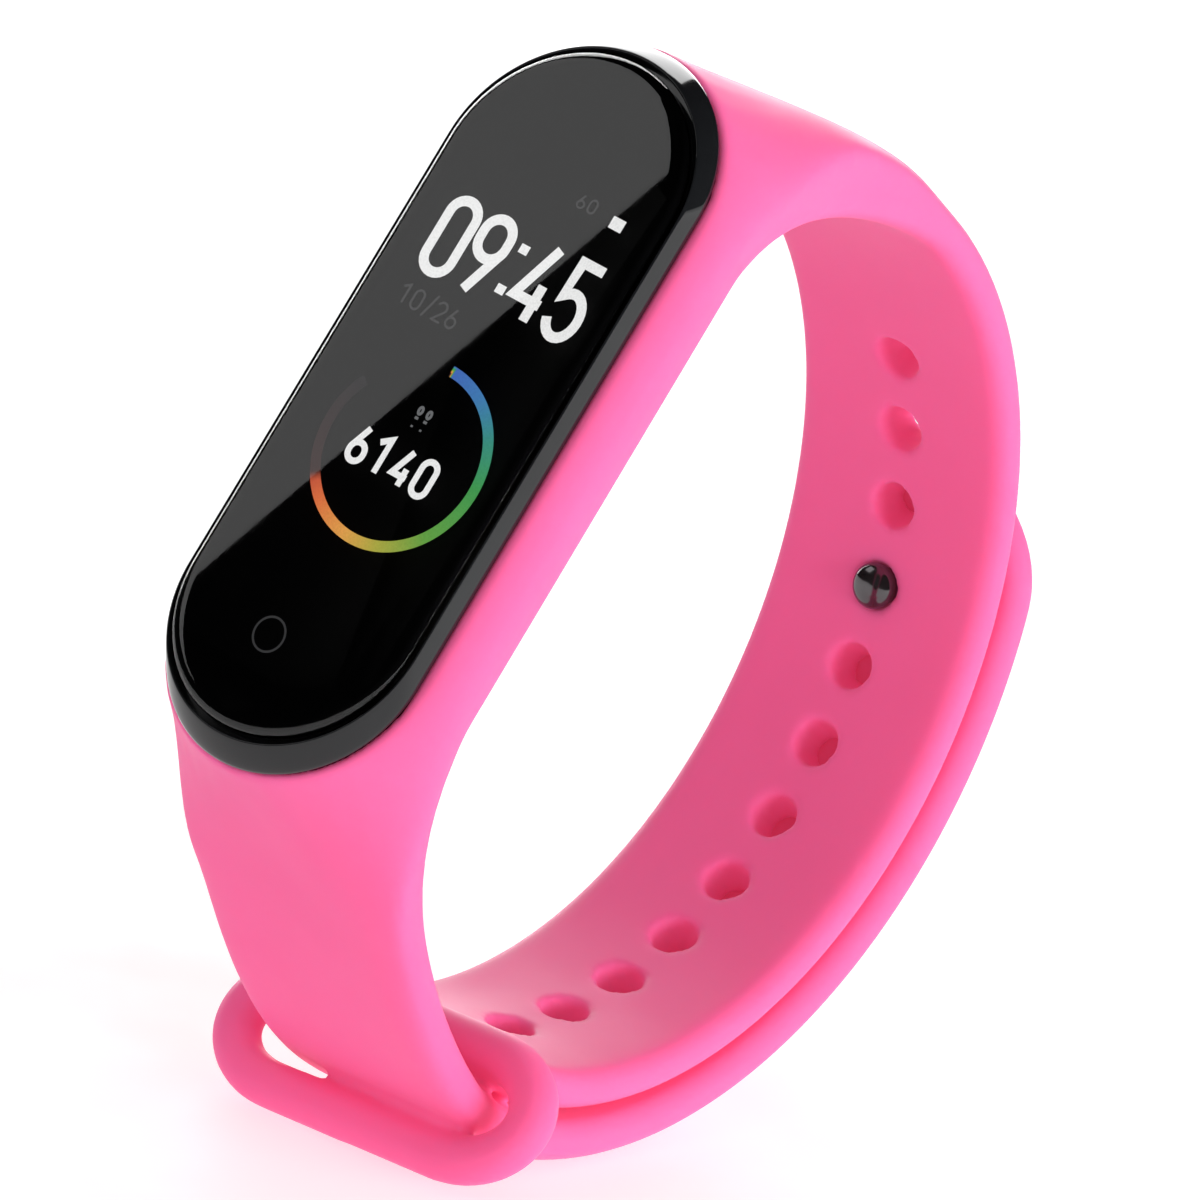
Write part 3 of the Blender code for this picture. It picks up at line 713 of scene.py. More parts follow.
def section(outer, inner, half_width, outer_edge, inner_edge):
    """Points round a flat section between two points in X and Z. Each edge is (along Y, through the
    thickness), the two radii of its rounding."""
    across = Vector((outer[0] - inner[0], 0.0, outer[1] - inner[1]))
    thickness = across.length
    across.normalize()
    points = []
    quarters = ((1, 1, 90.0), (1, -1, 0.0), (-1, -1, -90.0), (-1, 1, -180.0))
    for side, face, start in quarters:
        along, deep = outer_edge if face > 0 else inner_edge
        middle = thickness - deep if face > 0 else deep
        for i in range(EDGE_STEPS + 1):
            angle = math.radians(start - 90.0 * i / EDGE_STEPS)
            y = side * (half_width - along) + along * math.cos(angle)
            out = middle + deep * math.sin(angle)
            points.append((inner[0] + across.x * out, y, inner[1] + across.z * out))
    return points


def radial_frame(degrees):
    """Carries Z onto the outward line of the strap circle at this angle."""
    turn = Matrix.Rotation(math.radians(90.0 - degrees), 4, "Y")
    return Matrix.Translation((ARC_CENTRE[0], 0.0, ARC_CENTRE[1])) @ turn


def strap_sections(line, outward, half_widths=None, thicknesses=None):
    """Sections square to a centre line. Outward is 1 where the outer face lies left of the
    heading."""
    half_widths = half_widths or [STRAP_HALF_WIDTH] * len(line)
    thicknesses = thicknesses or [STRAP_THICKNESS] * len(line)
    rings = []
    for (x, z, heading), half_width, thickness in zip(line, half_widths, thicknesses):
        across = math.radians(heading + 90.0 * outward)
        step_x = math.cos(across) * thickness / 2
        step_z = math.sin(across) * thickness / 2
        size = thickness / STRAP_THICKNESS
        outer_edge = (min(CROWN[0], half_width), CROWN[1] * size)
        inner_edge = (min(INNER_EDGE, half_width), INNER_EDGE * size)
        outer, inner = (x + step_x, z + step_z), (x - step_x, z - step_z)
        rings.append(section(outer, inner, half_width, outer_edge, inner_edge))
    return rings


# ---------------------------------------------------------------- band


def side_half_width(depth):
    flare = CRADLE_RIM_HALF_WIDTH - STRAP_HALF_WIDTH
    flare *= 1 - eased(depth / CRADLE_FLARE_DEPTH)
    rise = max(0.0, depth / SWELL_DEPTH)
    swell = SWELL * (rise * math.exp(1 - rise)) ** SWELL_POWER
    return STRAP_HALF_WIDTH + flare + swell


def leaning_out(share, start):
    """From 0 to 1 with a soft end. The larger start is, the more it leans out from the first."""
    share = min(1.0, max(0.0, share))
    return start * share * (2 - share) + (1 - start) * eased(share)


def hole_strap_outer(depth):
    top = CRADLE_STRAIGHT + CRADLE_RIM_HALF_WIDTH
    full = on_arc(ARC_INNER_RADIUS + STRAP_THICKNESS, 0.0)[0] - top
    return top + full * leaning_out(depth / HOLE_STRAP_DEPTH, HOLE_STRAP_LEAN)


def peg_strap_outer(depth):
    top = CRADLE_STRAIGHT + CRADLE_RIM_HALF_WIDTH
    full = -PEG_STRAP_X + STRAP_THICKNESS / 2 - top
    return -(top + full * leaning_out(-depth / LOOP_LEVEL, PEG_STRAP_LEAN))


def throat(depth, start, end_x, end_depth, sweep):
    """The inner face, which sweeps from under the case down into the strap."""
    power, corner = sweep
    left = (end_depth - max(depth, start[1])) / (end_depth - start[1])
    return start[0] + (end_x - start[0]) * (1 - left**power) ** corner


def hole_strap_inner(depth):
    end_x = on_arc(ARC_INNER_RADIUS, 0.0)[0]
    return throat(depth, HOLE_STRAP_THROAT, end_x, -ARC_CENTRE[1], HOLE_STRAP_SWEEP)


def peg_strap_inner(depth):
    end_x = PEG_STRAP_X + STRAP_THICKNESS / 2
    return throat(depth, PEG_STRAP_THROAT, end_x, -LOOP_LEVEL, PEG_STRAP_SWEEP)


def edge_at(depth, half_width):
    """The rounding of the outer edges: a half circle at the cradle, and a slight crown at the
    strap."""
    radii = []
    for edge, reach in zip(CROWN, CROWN_DEPTHS):
        radii.append(edge + (half_width - edge) * (1 - eased(depth / reach)))
    return tuple(radii)


def cradle_rings():
    """Level slices of the cradle, drawn in a little at the top and more at the bottom."""
    last = 23
    pinches = {0: 0.25, last: 0.7}
    rings = []
    for i in range(last + 1):
        depth = -CRADLE_TOP + (CRADLE_TOP - CRADLE_BOTTOM) * i / last
        pinch = pinches.get(i, 0.0)
        half_width = side_half_width(depth) - pinch
        edge = edge_at(depth, half_width)
        outer = (hole_strap_outer(depth) - pinch, -depth)
        inner = (peg_strap_outer(depth) + pinch, -depth)
        rings.append(section(outer, inner, half_width, edge, edge))
    return rings


def root_sections(outer_at, inner_at, end_depth):
    """Level slices from inside the cradle down to where the strap runs straight down."""
    overlap = 0.6
    start_depth = -CRADLE_BOTTOM - overlap
    steps = 40
    rings = []
    for i in range(steps + 1):
        depth = start_depth + (end_depth - start_depth) * i / steps
        inset = 0.4 if i == 0 else 0.0
        half_width = side_half_width(depth) - inset
        side = math.copysign(1.0, outer_at(depth))
        outer = (outer_at(depth) - side * inset, -depth)
        inner = (inner_at(depth), -depth)
        room = abs(outer[0] - inner[0]) - INNER_EDGE - 0.02
        along, deep = edge_at(depth, half_width)
        inner_edge = (INNER_EDGE, INNER_EDGE)
        rings.append(section(outer, inner, half_width, (along, min(deep, room)), inner_edge))
    return rings


def hole_strap_rings():
    """From the cradle's 12 o'clock end, round the holes and up into the keeper loop's inner bar."""
    rings = root_sections(hole_strap_outer, hole_strap_inner, -ARC_CENTRE[1])
    line = on_circle(MID_RADIUS, 0.0, LOOP_RISE_DEG)
    line += bend(line[-1], LOOP_RISE_RADIUS, -180.0 - LOOP_RISE_DEG)[1:]
    return rings + strap_sections(line, outward=1)[1:]


def loop_rings():
    """Rings round the keeper loop, whose ends are half ellipses."""
    steps, sides = 28, 28
    middle_x = (LOOP_OUTER_X + LOOP_INNER_X) / 2
    half_gap = (LOOP_INNER_X - LOOP_OUTER_X) / 2
    rings = []
    for side in (1, -1):
        for i in range(steps + 1):
            angle = math.radians(90.0 * (1 - side) + 180.0 * i / steps)
            x = middle_x + half_gap * math.cos(angle)
            y = side * (LOOP_HALF_WIDTH - LOOP_END) + LOOP_END * math.sin(angle)
            outward = Vector((math.cos(angle) / half_gap, math.sin(angle) / LOOP_END, 0.0))
            outward.normalize()
            ring = []
            for j in range(sides):
                turn = 2 * math.pi * j / sides
                reach = outward * (LOOP_BAR_RADIUS * math.cos(turn))
                z = LOOP_LEVEL + LOOP_BAR_RADIUS * math.sin(turn)
                ring.append((x - LOOP_SKEW * y + reach.x, y + reach.y, z))
            rings.append(ring)
    return rings


def case_room_rings():
    """The pocket for the case, open above and below, from (how much less than the case, height)."""
    fit = 0.2
    levels = (
        (0.0, 3.0),
        (0.0, -4.6),
        (1.1, -6.8),
        (2.8, -8.6),
        (4.6, CASE_BOTTOM),
        (4.6, CASE_BOTTOM - 2.0),
    )
    return [stadium(CASE_LENGTH - less + fit, CASE_WIDTH - less + fit, z) for less, z in levels]


def adjusting_hole_rings(number):
    place = radial_frame(FIRST_HOLE_DEG - number * HOLE_PITCH_DEG)
    outer_face = ARC_INNER_RADIUS + STRAP_THICKNESS
    past_faces = 2.0
    profile = (
        (HOLE_RADIUS, ARC_INNER_RADIUS - past_faces),
        (HOLE_RADIUS, ARC_INNER_RADIUS + HOLE_MOUTH),
        (HOLE_OUTER_RADIUS, outer_face),
        (HOLE_OUTER_RADIUS, outer_face + past_faces),
    )
    rings = []
    for radius, z in profile:
        rings.append([tuple(place @ Vector(point)) for point in circle(radius, z)])
    return rings


def band_cutter():
    bm = bmesh.new()
    add_loft(bm, case_room_rings())
    for number in range(HOLE_COUNT):
        add_loft(bm, adjusting_hole_rings(number))
    return mesh_object("band_cutter", bm, pink_silicone())


def band():
    """Cradle, hole strap, keeper loop and the root of the peg strap, in one skin."""
    bm = bmesh.new()
    add_loft(bm, cradle_rings())
    add_loft(bm, hole_strap_rings())
    add_loft(bm, peg_root_rings())
    add_loft(bm, loop_rings(), closed=True)
    obj = mesh_object("band_soft", bm, pink_silicone())
    skin_over(obj, SKIN_VOXEL, passes=2)
    cut_out(obj, band_cutter())
    skin_over(obj, SKIN_VOXEL, passes=9)
    return stand(obj, "band", "band_moulding")


def strap_under_loop():
    """Where the peg strap starts below its root, and the radius and turn that lead it onto the tail's
    circle."""
    start = (PEG_STRAP_X, LOOP_LEVEL, -90.0)
    off_x = ARC_CENTRE[0] - start[0]
    off_z = ARC_CENTRE[1] - start[1]
    radius = (TAIL_RADIUS**2 - off_x**2 - off_z**2) / (2 * (TAIL_RADIUS - off_x))
    return start, radius, math.degrees(math.atan2(off_z, off_x - radius))


def peg_root_rings():
    """The peg strap down to its seam, which the keeper loop hides."""
    rings = root_sections(peg_strap_outer, peg_strap_inner, -LOOP_LEVEL)
    line = bend(*strap_under_loop())[: SEAM_STEP + 1]
    return rings + strap_sections(line, outward=-1)[1:]


def peg_strap():
    """From inside the keeper loop, round outside the hole strap, to the middle of the tail."""
    start, radius, turn = strap_under_loop()
    line = bend(start, radius, turn)
    line += on_circle(TAIL_RADIUS, turn - 180.0, TAIL_SPLIT_DEG)[1:]
    line = line[SEAM_STEP:]
    obj = loft("peg_strap_soft", strap_sections(line, outward=-1), pink_silicone(), smooth_deg=60.0)
    stand(obj, None, "tail_middle")
    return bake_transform(obj)


def closed_up(line):
    """Draws the last stretch of the tail in, from the peg to the tip."""
    drawn = []
    for x, z, heading in line:
        past_peg = (heading - 90.0 - PEG_DEG) / (TAIL_END_DEG - PEG_DEG)
        inward = math.radians(heading + 90.0)
        shift = TIP_CLOSING * eased(past_peg)
        drawn.append((x + shift * math.cos(inward), z + shift * math.sin(inward), heading))
    return drawn


def arc_reach(left, radius):
    """How far a round end of this radius has opened at this distance from its tip."""
    left = min(radius, max(0.0, left))
    return math.sqrt(radius**2 - (radius - left) ** 2)


def tail():
    """The free end of the peg strap, with a round tip."""
    half = STRAP_THICKNESS / 2
    thinnest = 0.1
    tip_deg = TAIL_END_DEG - 3.5
    line = on_circle(TAIL_RADIUS, TAIL_SPLIT_DEG, tip_deg, 1.2)[:-1]
    line += on_circle(TAIL_RADIUS, tip_deg, TAIL_END_DEG, 0.2)
    left = [math.radians(TAIL_END_DEG - heading + 90.0) * TAIL_RADIUS for _, _, heading in line]
    widths = [STRAP_HALF_WIDTH - TIP_RADIUS + arc_reach(here, TIP_RADIUS) for here in left]
    thicknesses = [max(thinnest, 2 * arc_reach(here, half)) for here in left]
    rings = strap_sections(closed_up(line), -1, widths, thicknesses)
    obj = loft("tail_soft", rings, pink_silicone(), smooth_deg=60.0)
    stand(obj, None, "tail_tip")
    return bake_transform(obj)


# ---------------------------------------------------------------- peg


def peg_stud():
    """A round pin through both straps, whose smooth domed head stands inside the band."""
    head_top = ARC_INNER_RADIUS - PEG_STANDS_PROUD
    dome = 0.75
    steps = 10
    profile = []
    for i in range(1, steps + 1):
        angle = math.radians(90.0 * i / steps)
        profile.append((PEG_HEAD_RADIUS * math.sin(angle), head_top + dome * (1 - math.cos(angle))))
    profile += [
        (PEG_HEAD_RADIUS, head_top + 1.05),
        (PEG_HEAD_RADIUS - 0.08, head_top + 1.20),
        (PEG_RADIUS, head_top + 1.5),
        (PEG_RADIUS, TAIL_RADIUS + STRAP_THICKNESS / 2 - 0.1),
    ]
    obj = turned("peg_stud_polished", profile, peg_metal())
    obj.data.transform(radial_frame(PEG_DEG))
    return stand(obj, "tail_tip", "peg_stud")


def peg_cap():
    """A round plate with a rolled edge and a shallow dish."""
    foot = TAIL_RADIUS + STRAP_THICKNESS / 2 + 0.02
    profile = [
        (CAP_RADIUS - 0.25, foot),
        (CAP_RADIUS - 0.05, foot + 0.08),
        (CAP_RADIUS, foot + 0.30),
        (CAP_RADIUS - 0.08, foot + 0.52),
        (CAP_RADIUS - 0.30, foot + 0.68),
        (CAP_RADIUS - 0.60, foot + 0.72),
        (CAP_RADIUS - 0.85, foot + 0.62),
        (1.2, foot + 0.58),
        (0.5, foot + 0.60),
    ]
    obj = turned("peg_cap_polished", profile, peg_metal())
    obj.data.transform(radial_frame(PEG_DEG))
    return stand(obj, "tail_tip", "peg_cap")


# ---------------------------------------------------------------- tracker


def bezel():
    """The upper case: a sloped rim round the glass, on a ledge."""
    flange = (CASE_LENGTH + 2 * FLANGE, CASE_WIDTH + 2 * FLANGE)
    opening = (GLASS_LENGTH + 0.7, GLASS_WIDTH + 0.5)
    ledge_width = 1.4
    hollow = (CASE_LENGTH - 2 * WALL - ledge_width, CASE_WIDTH - 2 * WALL - ledge_width)
    ledge = GLASS_BOTTOM - 0.2
    foot = SEAM + SEAM_GAP
    lip = 0.12
    steps = 8
    slope = []
    for i in range(steps + 1):
        share = i / steps
        gone = share**1.25
        length = flange[0] + (RIM_LENGTH - flange[0]) * gone
        width = flange[1] + (RIM_WIDTH - flange[1]) * gone
        slope.append((length, width, lip + 0.05 + (RIM_HEIGHT - lip - 0.1) * share))
    levels = [
        (CASE_LENGTH, CASE_WIDTH, foot),
        (CASE_LENGTH, CASE_WIDTH, 0.0),
        (flange[0] - 2 * lip, flange[1] - 2 * lip, 0.0),
        (flange[0] - 0.6 * lip, flange[1] - 0.6 * lip, 0.03),
        *slope,
        (RIM_LENGTH - 0.10, RIM_WIDTH - 0.06, RIM_HEIGHT - 0.01),
        (RIM_LENGTH - 0.18, RIM_WIDTH - 0.10, RIM_HEIGHT),
        (opening[0] + 0.14, opening[1] + 0.06, RIM_HEIGHT),
        (opening[0], opening[1], RIM_HEIGHT - 0.06),
        (*opening, ledge),
        (*hollow, ledge),
        (*hollow, foot),
    ]
    obj = loft("bezel_gloss", stadium_levels(levels), bezel_gloss(), closed=True, smooth_deg=50.0)
    return stand(obj, "tracker", "bezel_ring")


def cover_glass():
    inward, down = GLASS_EDGE
    bevel, flat_ring = 0.3, 0.4
    levels = [
        (GLASS_LENGTH - bevel, GLASS_WIDTH - bevel, GLASS_BOTTOM),
        (GLASS_LENGTH, GLASS_WIDTH, GLASS_BOTTOM + bevel / 2),
    ]
    levels += rounding((GLASS_LENGTH, GLASS_WIDTH, GLASS_TOP), inward, down, 90.0, steps=16)
    length, width, top = levels[-1]
    levels.append((length - flat_ring, width - flat_ring, top))
    obj = loft("cover_glass_clear", stadium_levels(levels), clear_glass(), smooth_deg=50.0)
    return stand(obj, "tracker", "cover_glass")


def display_backing():
    """The printed mask and black display right under the glass."""
    inward, down = GLASS_EDGE
    skin = 0.10
    outline = (GLASS_LENGTH - 2 * skin, GLASS_WIDTH - 2 * skin, GLASS_TOP - skin)
    levels = [(outline[0] - 0.3, outline[1] - 0.3, GLASS_BOTTOM + skin)]
    levels += rounding(outline, inward, down, 60.0, steps=10)
    length, width, _ = levels[-1]
    levels.append((length - 0.5, width - 0.5, DISPLAY_LEVEL))
    obj = loft("display_backing", stadium_levels(levels), printed_mask(), smooth_deg=50.0)
    return stand(obj, "tracker")


def add_opening(bm, radius, centre):
    """Adds a cutter through the underside of the case."""
    levels = (CASE_BOTTOM - 1.0, CASE_BOTTOM + WALL + 1.0)
    add_loft(bm, [circle(radius, z, centre) for z in levels])


def rear_case():
    """A tub under the bezel, round which the cradle closes, from (how much less than the case,
    height) up its inside and down its outside."""
    top, belly = SEAM - SEAM_GAP, -4.2
    profile = (
        (8.0, CASE_BOTTOM + WALL),
        (5.0, -7.6),
        (2 * WALL, belly),
        (2 * WALL, top),
        (0.0, top),
        (0.0, belly),
        (0.5, -5.0),
        (1.1, -5.8),
        (1.9, -6.6),
        (2.9, -7.5),
        (4.1, -8.5),
        (5.2, -9.25),
        (6.6, CASE_BOTTOM),
    )
    rings = [stadium(CASE_LENGTH - less, CASE_WIDTH - less, z) for less, z in profile]
    obj = loft("rear_case_matte", rings, case_matte(), smooth_deg=30.0)
    openings = bmesh.new()
    add_opening(openings, WINDOW_RADIUS, (WINDOW_X, 0.0))
    for y in pin_rows():
        add_opening(openings, PIN_OPENING_RADIUS, (PIN_X, y))
    cut_out(obj, mesh_object("case_openings", openings, case_matte()))
    obj.data.set_sharp_from_angle(angle=math.radians(30.0))
    return stand(obj, "tracker", "rear_case")


def pin_rows():
    return (PIN_SPACING / 2, -PIN_SPACING / 2)


def sensor_window():
    """A shallow domed lens in the underside."""
    edge = WINDOW_RADIUS - 0.08
    dome = 0.35
    steps = 8
    profile = []
    for i in range(1, steps + 1):
        angle = math.radians(90.0 * i / steps)
        profile.append((edge * math.sin(angle), CASE_BOTTOM - dome * math.cos(angle)))
    back = CASE_BOTTOM + WALL - 0.1
    profile += [(edge, back), (2.6, back)]
    obj = turned("sensor_lens_domed", profile, sensor_lens(), centre=(WINDOW_X, 0.0))
    return stand(obj, "tracker", "sensor_window")


def charging_pins():
    for side, y in zip(("left", "right"), pin_rows()):
        centre = (PIN_X, y)
        foot = CASE_BOTTOM + 0.1
        top = CASE_BOTTOM + WALL + 0.5
        profile = [(0.45, foot), (0.70, foot + 0.04), (0.85, foot + 0.16), (0.85, top)]
        pin = turned(f"charging_contact_{side}", profile, gold_contact(), centre)
        stand(pin, "tracker", f"charging_pin_{side}")
        wall, bore, back = 1.45, 0.92, top - 0.5
        profile = [(wall, foot + 0.05), (wall, back), (bore, back), (bore, foot + 0.12), (1.2, foot)]
        seal = turned(f"contact_seal_{side}", profile, rubber(), centre, closed=True)
        stand(seal, "tracker", f"pin_seal_{side}")


# ---------------------------------------------------------------- display graphics


def arc(centre, radii, start_deg, end_deg, steps=14):
    points = []
    for i in range(steps + 1):
        angle = math.radians(start_deg + (end_deg - start_deg) * i / steps)
        right = centre[0] + radii[0] * math.cos(angle)
        up = centre[1] + radii[1] * math.sin(angle)
        points.append((right, up))
    return points


# Each digit is a list of (path, whether it is closed) for strokes that fill a width and a height.


def zero(w, h):
    r = w / 2
    return [(arc((r, h - r), (r, r), 0.0, 180.0) + arc((r, r), (r, r), 180.0, 360.0), True)]


def one(w, h):
    return [([(0.0, 0.80 * h), (0.62 * w, h), (0.62 * w, 0.0)], False)]


def two(w, h):
    top = arc((0.5 * w, 0.72 * h), (0.5 * w, 0.28 * h), 165.0, -35.0)
    return [(top + [(0.0, 0.0), (w, 0.0)], False)]


def four(w, h):
    angle = [(0.66 * w, h), (0.0, 0.26 * h), (w, 0.26 * h)]
    stem = [(0.76 * w, 0.50 * h), (0.76 * w, 0.0)]
    return [(angle, False), (stem, False)]


def five(w, h):
    flag = [(0.94 * w, h), (0.14 * w, h), (0.10 * w, 0.52 * h)]
    bowl = arc((0.48 * w, 0.30 * h), (0.52 * w, 0.30 * h), 128.0, -160.0, 22)
    return [(flag + bowl[1:], False)]


def nine(w, h):
    r = w / 2
    low = 0.46 * h
    loop = arc((r, h - r), (r, r), 0.0, 180.0) + arc((r, low + r), (r, r), 180.0, 360.0)
    leg = [(0.99 * w, low + 0.8 * r), (0.42 * w, 0.0)]
    return [(loop, True), (leg, False)]


def six(w, h):
    return [([(w - x, h - y) for x, y in path], closed) for path, closed in nine(w, h)]


GLYPHS = {"0": zero, "1": one, "2": two, "4": four, "5": five, "6": six, "9": nine}


def ribbon_rings(path, width, closed):
    """Rings of four points along a flat path of (right, up), with mitred corners."""
    count = len(path)
    rings = []
    for i, here in enumerate(path):
        before = path[i - 1] if closed or i else here
        after = path[(i + 1) % count] if closed or i < count - 1 else here
        into = Vector(here) - Vector(before)
        out = Vector(after) - Vector(here)
        into = into.normalized() if into.length else out.normalized()
        out = out.normalized() if out.length else into
        along = (into + out).normalized()
        normal = Vector((-along.y, along.x))
        reach = normal * (width / 2 / max(0.5, along.dot(into)))
        corners = ((1, 0), (-1, 0), (-1, 1), (1, 1))
        rings.append([(Vector(here) + side * reach, level) for side, level in corners])
    return rings


def on_display(point, level):
    """A point of the display, given as (right, up), in the band's coordinates."""
    right, up = point
    height = DISPLAY_LEVEL + INK_GAP + INK_THICKNESS * level
    return (up + DISPLAY_SLOPE * right, -right, height)


def draw(bm, path, width, closed):
    rings = []
    for ring in ribbon_rings(path, width, closed):
        rings.append([on_display(point, level) for point, level in ring])
    add_loft(bm, rings, closed)


def write(bm, text, left, base, size, pitch, width):
    """Writes glyphs whose outer size is given, from the left end of the base line."""
    w, h = size[0] - width, size[1] - width
    for place, letter in enumerate(text):
        for path, closed in GLYPHS[letter](w, h):
            moved = [(left + pitch[place] + width / 2 + x, base + width / 2 + y) for x, y in path]
            draw(bm, moved, width, closed)


def dot(bm, right, up, size):
    """A rectangle about a point."""
    draw(bm, [(right - size[0] / 2, up), (right + size[0] / 2, up)], size[1], False)


def ink(name, bm, finish):
    return stand(mesh_object(name, bm, finish, smooth_deg=30.0), "tracker")


def clock():
    bm = bmesh.new()
    write(bm, "0945", -5.42, 5.63, (2.56, 5.18), (0.0, 2.69, 6.62, 9.36), 0.62)
    for up in (6.93, 9.55):
        dot(bm, 0.60, up, (0.62, 0.56))
    ink("clock_digits", bm, white_ink())


def step_count():
    bm = bmesh.new()
    write(bm, "6140", -2.83, -5.78, (1.42, 2.50), (0.0, 1.62, 3.30, 4.92), 0.38)
    ink("step_digits", bm, white_ink())
    feet = bmesh.new()
    for right in (0.22, 0.88):
        draw(feet, arc((right, -1.25), (0.13, 0.22), 0.0, 345.0, 12), 0.16, True)
        dot(feet, right, -1.72, (0.24, 0.16))
        dot(feet, right, -2.25, (0.14, 0.12))
    ink("step_mark", feet, grey_ink())


def battery_mark():
    bm = bmesh.new()
    dot(bm, 5.12, 13.28, (0.92, 0.74))
    ink("battery_square", bm, white_ink())
    share = bmesh.new()
    write(share, "60", 1.98, 13.05, (0.62, 0.92), (0.0, 0.80), 0.12)
    ink("battery_digits", share, faint_ink())


def date_line():
    bm = bmesh.new()
    write(bm, "10", -5.20, 3.52, (0.78, 1.30), (0.0, 0.95), 0.14)
    draw(bm, [(-3.15, 3.45), (-2.70, 4.95)], 0.14, False)
    write(bm, "26", -2.50, 3.52, (0.78, 1.30), (0.0, 0.95), 0.14)
    ink("date_digits", bm, faint_ink())


def progress_ring():
    """A ring whose lit part runs clockwise from the top."""
    bm = bmesh.new()
    centre, radius, width = (0.62, -3.93), 5.46, 0.66
    turn_deg = 300.0
    steps = 120
    path = arc(centre, (radius, radius), 90.0, 90.0 - turn_deg, steps)
    draw(bm, path, width, False)
    obj = mesh_object("progress_ring", bm, ring_ink(), smooth_deg=30.0)
    share = obj.data.attributes.new("share", "FLOAT", "POINT")
    for vertex, value in zip(obj.data.vertices, share.data):
        right = -vertex.co.y - centre[0]
        up = vertex.co.x - DISPLAY_SLOPE * (right + centre[0]) - centre[1]
        value.value = (math.degrees(math.atan2(right, up)) % 360.0) / 360.0
    stand(obj, "tracker")


def touch_mark():
    bm = bmesh.new()
    draw(bm, arc((-0.78, -16.35), (1.03, 1.03), 0.0, 354.0, 60), 0.13, True)
    ink("touch_ring", bm, faint_ink())


# ---------------------------------------------------------------- pieces inside the case


def finish_inner_pieces():
    """Materials for the CAD pieces that are kept as they are."""
    finishes = {
        "case_gasket": rubber,
        "touch_film": amber_film,
        "display_panel": printed_mask,
        "display_flex": amber_film,
        "inner_frame": case_matte,
        "main_board": circuit_board,
        "processor": chip_black,
        "memory_chip": chip_black,
        "motion_sensor": chip_black,
        "power_chip": chip_black,
        "board_connector": gold_contact,
        "chip_antenna": steel,
        "battery_cell": foil,
        "battery_guard_board": circuit_board,
        "motor_base": steel,
        "motor_shaft": steel,
        "motor_cover": steel,
        "motor_weight": steel,
        "heart_sensor_board": circuit_board,
        "green_light_1": green_led,
        "green_light_2": green_led,
        "photodiode": sensor_lens,
        "light_wall": case_matte,
    }
    for name, finish in finishes.items():
        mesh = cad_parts[name].data
        mesh.materials.clear()
        mesh.materials.append(finish())


# ---------------------------------------------------------------- studio


def floor():
    """A thick white board, far wider than any view of the band."""
    half, depth, edge = 1500.0, 4.0, 0.4
    rings = []
    for inset, z in ((0.0, -depth), (0.0, -edge), (edge, 0.0)):
        side = half - inset
        rings.append([(-side, -side, z), (side, -side, z), (side, side, z), (-side, side, z)])
    obj = loft("studio_floor", rings, floor_white())
    obj.data.transform(Matrix.Scale(MM, 4))


def white_room():
    """Soft white light from above the floor, a little dimmer overhead. Glossy surfaces mirror only
    the lamps and the floor."""
    horizon, zenith = 0.86, 0.30
    full_height = 0.02
    world = bpy.data.worlds.new("white_room")
    world.use_nodes = True
    tree = world.node_tree
    direction = tree.nodes.new("ShaderNodeTexCoord")
    split = tree.nodes.new("ShaderNodeSeparateXYZ")
    sky = tree.nodes.new("ShaderNodeValToRGB")
    ramp = sky.color_ramp
    ramp.elements[0].color = (0.0, 0.0, 0.0, 1.0)
    ramp.elements[1].color = (zenith, zenith, zenith, 1.0)
    ramp.elements.new(full_height).color = (horizon, horizon, horizon, 1.0)
    tree.links.new(direction.outputs["Generated"], split.inputs["Vector"])
    tree.links.new(split.outputs["Z"], sky.inputs["Fac"])
    tree.links.new(sky.outputs["Color"], tree.nodes["Background"].inputs["Color"])
    bpy.context.scene.world = world
    world.cycles_visibility.glossy = False


def lamp(name, corners, radiance):
    """A flat lamp that shines at the band. Its three corners, in metres, are one corner and the two
    beside it."""
    corner, first, second = (Vector(point) for point in corners)
    side_x = first - corner
    side_y = second - corner
    middle = corner + (side_x + side_y) / 2
    data = bpy.data.lights.new(name, "AREA")
    data.shape = "RECTANGLE"
    data.size = side_x.length
    data.size_y = side_y.length
    data.energy = radiance * math.pi * data.size * data.size_y
    obj = bpy.data.objects.new(name, data)
    across = side_x.normalized()
    back = side_x.cross(side_y).normalized()
    if back.dot(middle) < 0:
        back.negate()
    turn = Matrix((across, back.cross(across), back)).transposed().to_4x4()
    obj.matrix_world = Matrix.Translation(middle) @ turn
    obj.visible_camera = False
    bpy.context.scene.collection.objects.link(obj)
    return obj


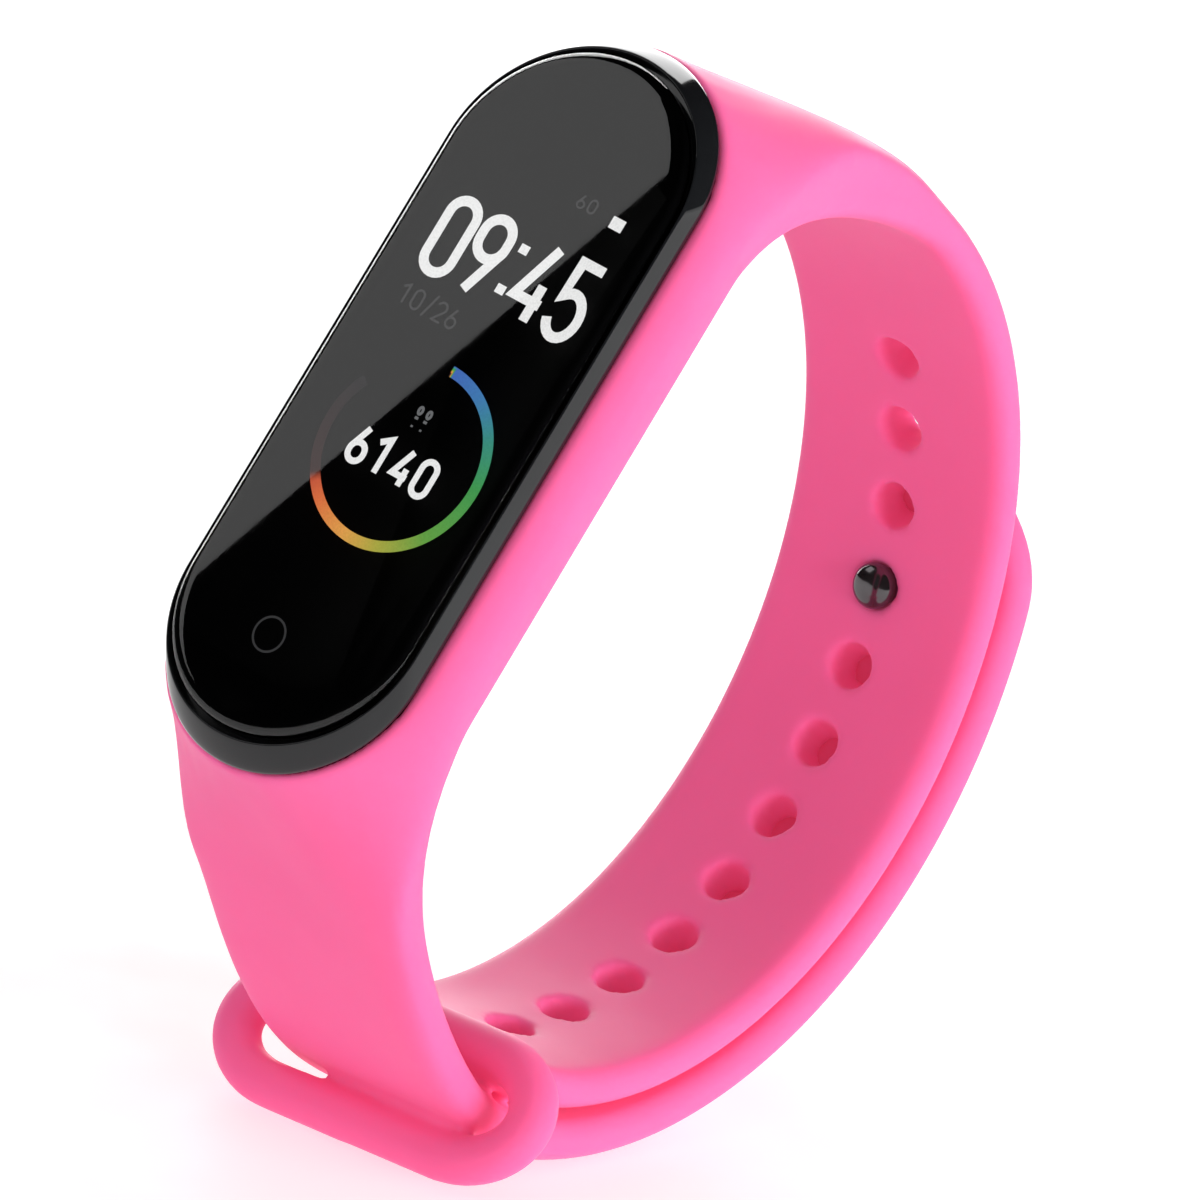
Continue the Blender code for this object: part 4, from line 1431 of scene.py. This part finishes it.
def glass_card():
    """The softbox that the glass mirrors. Its edge crosses the display on a slant, from the upper
    point to the lower, so it lies on the mirrored lines of sight through those two."""
    upper = Vector((18.08, -7.11, GLASS_TOP))
    lower = Vector((-15.03, 6.92, GLASS_TOP))
    reach = 0.8
    width = 260.0
    eye = BAND_TO_WORLD.inverted() @ Vector(CAMERA_PLACE)
    eye.z = 2 * GLASS_TOP - eye.z
    first = upper + (upper - eye) * reach
    second = lower + (lower - eye) * reach
    edge = second - first
    sight = ((upper + lower) / 2 - eye).normalized()
    away = edge.cross(sight).normalized()
    start = first - edge * 1.5
    length = edge * 3.6
    corners = (start, start + length, start + away * width)
    card = lamp("glass_card", [BAND_TO_WORLD @ corner for corner in corners], 1.35)
    card.visible_diffuse = False


def overhead():
    """A wide softbox over the band and behind it."""
    corners = ((0.00, -0.40, 0.60), (0.00, 0.45, 0.60), (0.80, -0.40, 0.60))
    soft = lamp("overhead", corners, radiance=0.06)
    soft.visible_glossy = False


def near_side():
    """A softbox beside the band, which brightens its near edge."""
    corners = ((-0.25, -0.75, 0.01), (0.50, -0.75, 0.01), (-0.25, -0.75, 0.26))
    soft = lamp("near_side", corners, radiance=9.5)
    soft.visible_glossy = False


def backdrop():
    """A white card far behind the band, which shines along the edges of the glass and the bezel."""
    corners = ((1.05, 0.35, 0.02), (0.05, 1.15, 0.02), (1.05, 0.35, 1.30))
    card = lamp("backdrop", corners, radiance=5.5)
    card.visible_diffuse = False


def camera():
    data = bpy.data.cameras.new("camera")
    data.lens = CAMERA_LENS
    data.sensor_width = 36.0
    data.clip_end = 20.0
    obj = bpy.data.objects.new("camera", data)
    obj.location = CAMERA_PLACE
    obj.rotation_euler = [math.radians(turn) for turn in CAMERA_TURN_DEG]
    bpy.context.scene.collection.objects.link(obj)
    bpy.context.scene.camera = obj


def build():
    band()
    peg_strap()
    tail()
    peg_stud()
    peg_cap()
    bezel()
    cover_glass()
    display_backing()
    rear_case()
    sensor_window()
    charging_pins()
    clock()
    step_count()
    battery_mark()
    date_line()
    progress_ring()
    touch_mark()
    finish_inner_pieces()
    floor()
    white_room()
    glass_card()
    overhead()
    near_side()
    backdrop()
    camera()
    bpy.context.scene.view_settings.view_transform = "Standard"


build()
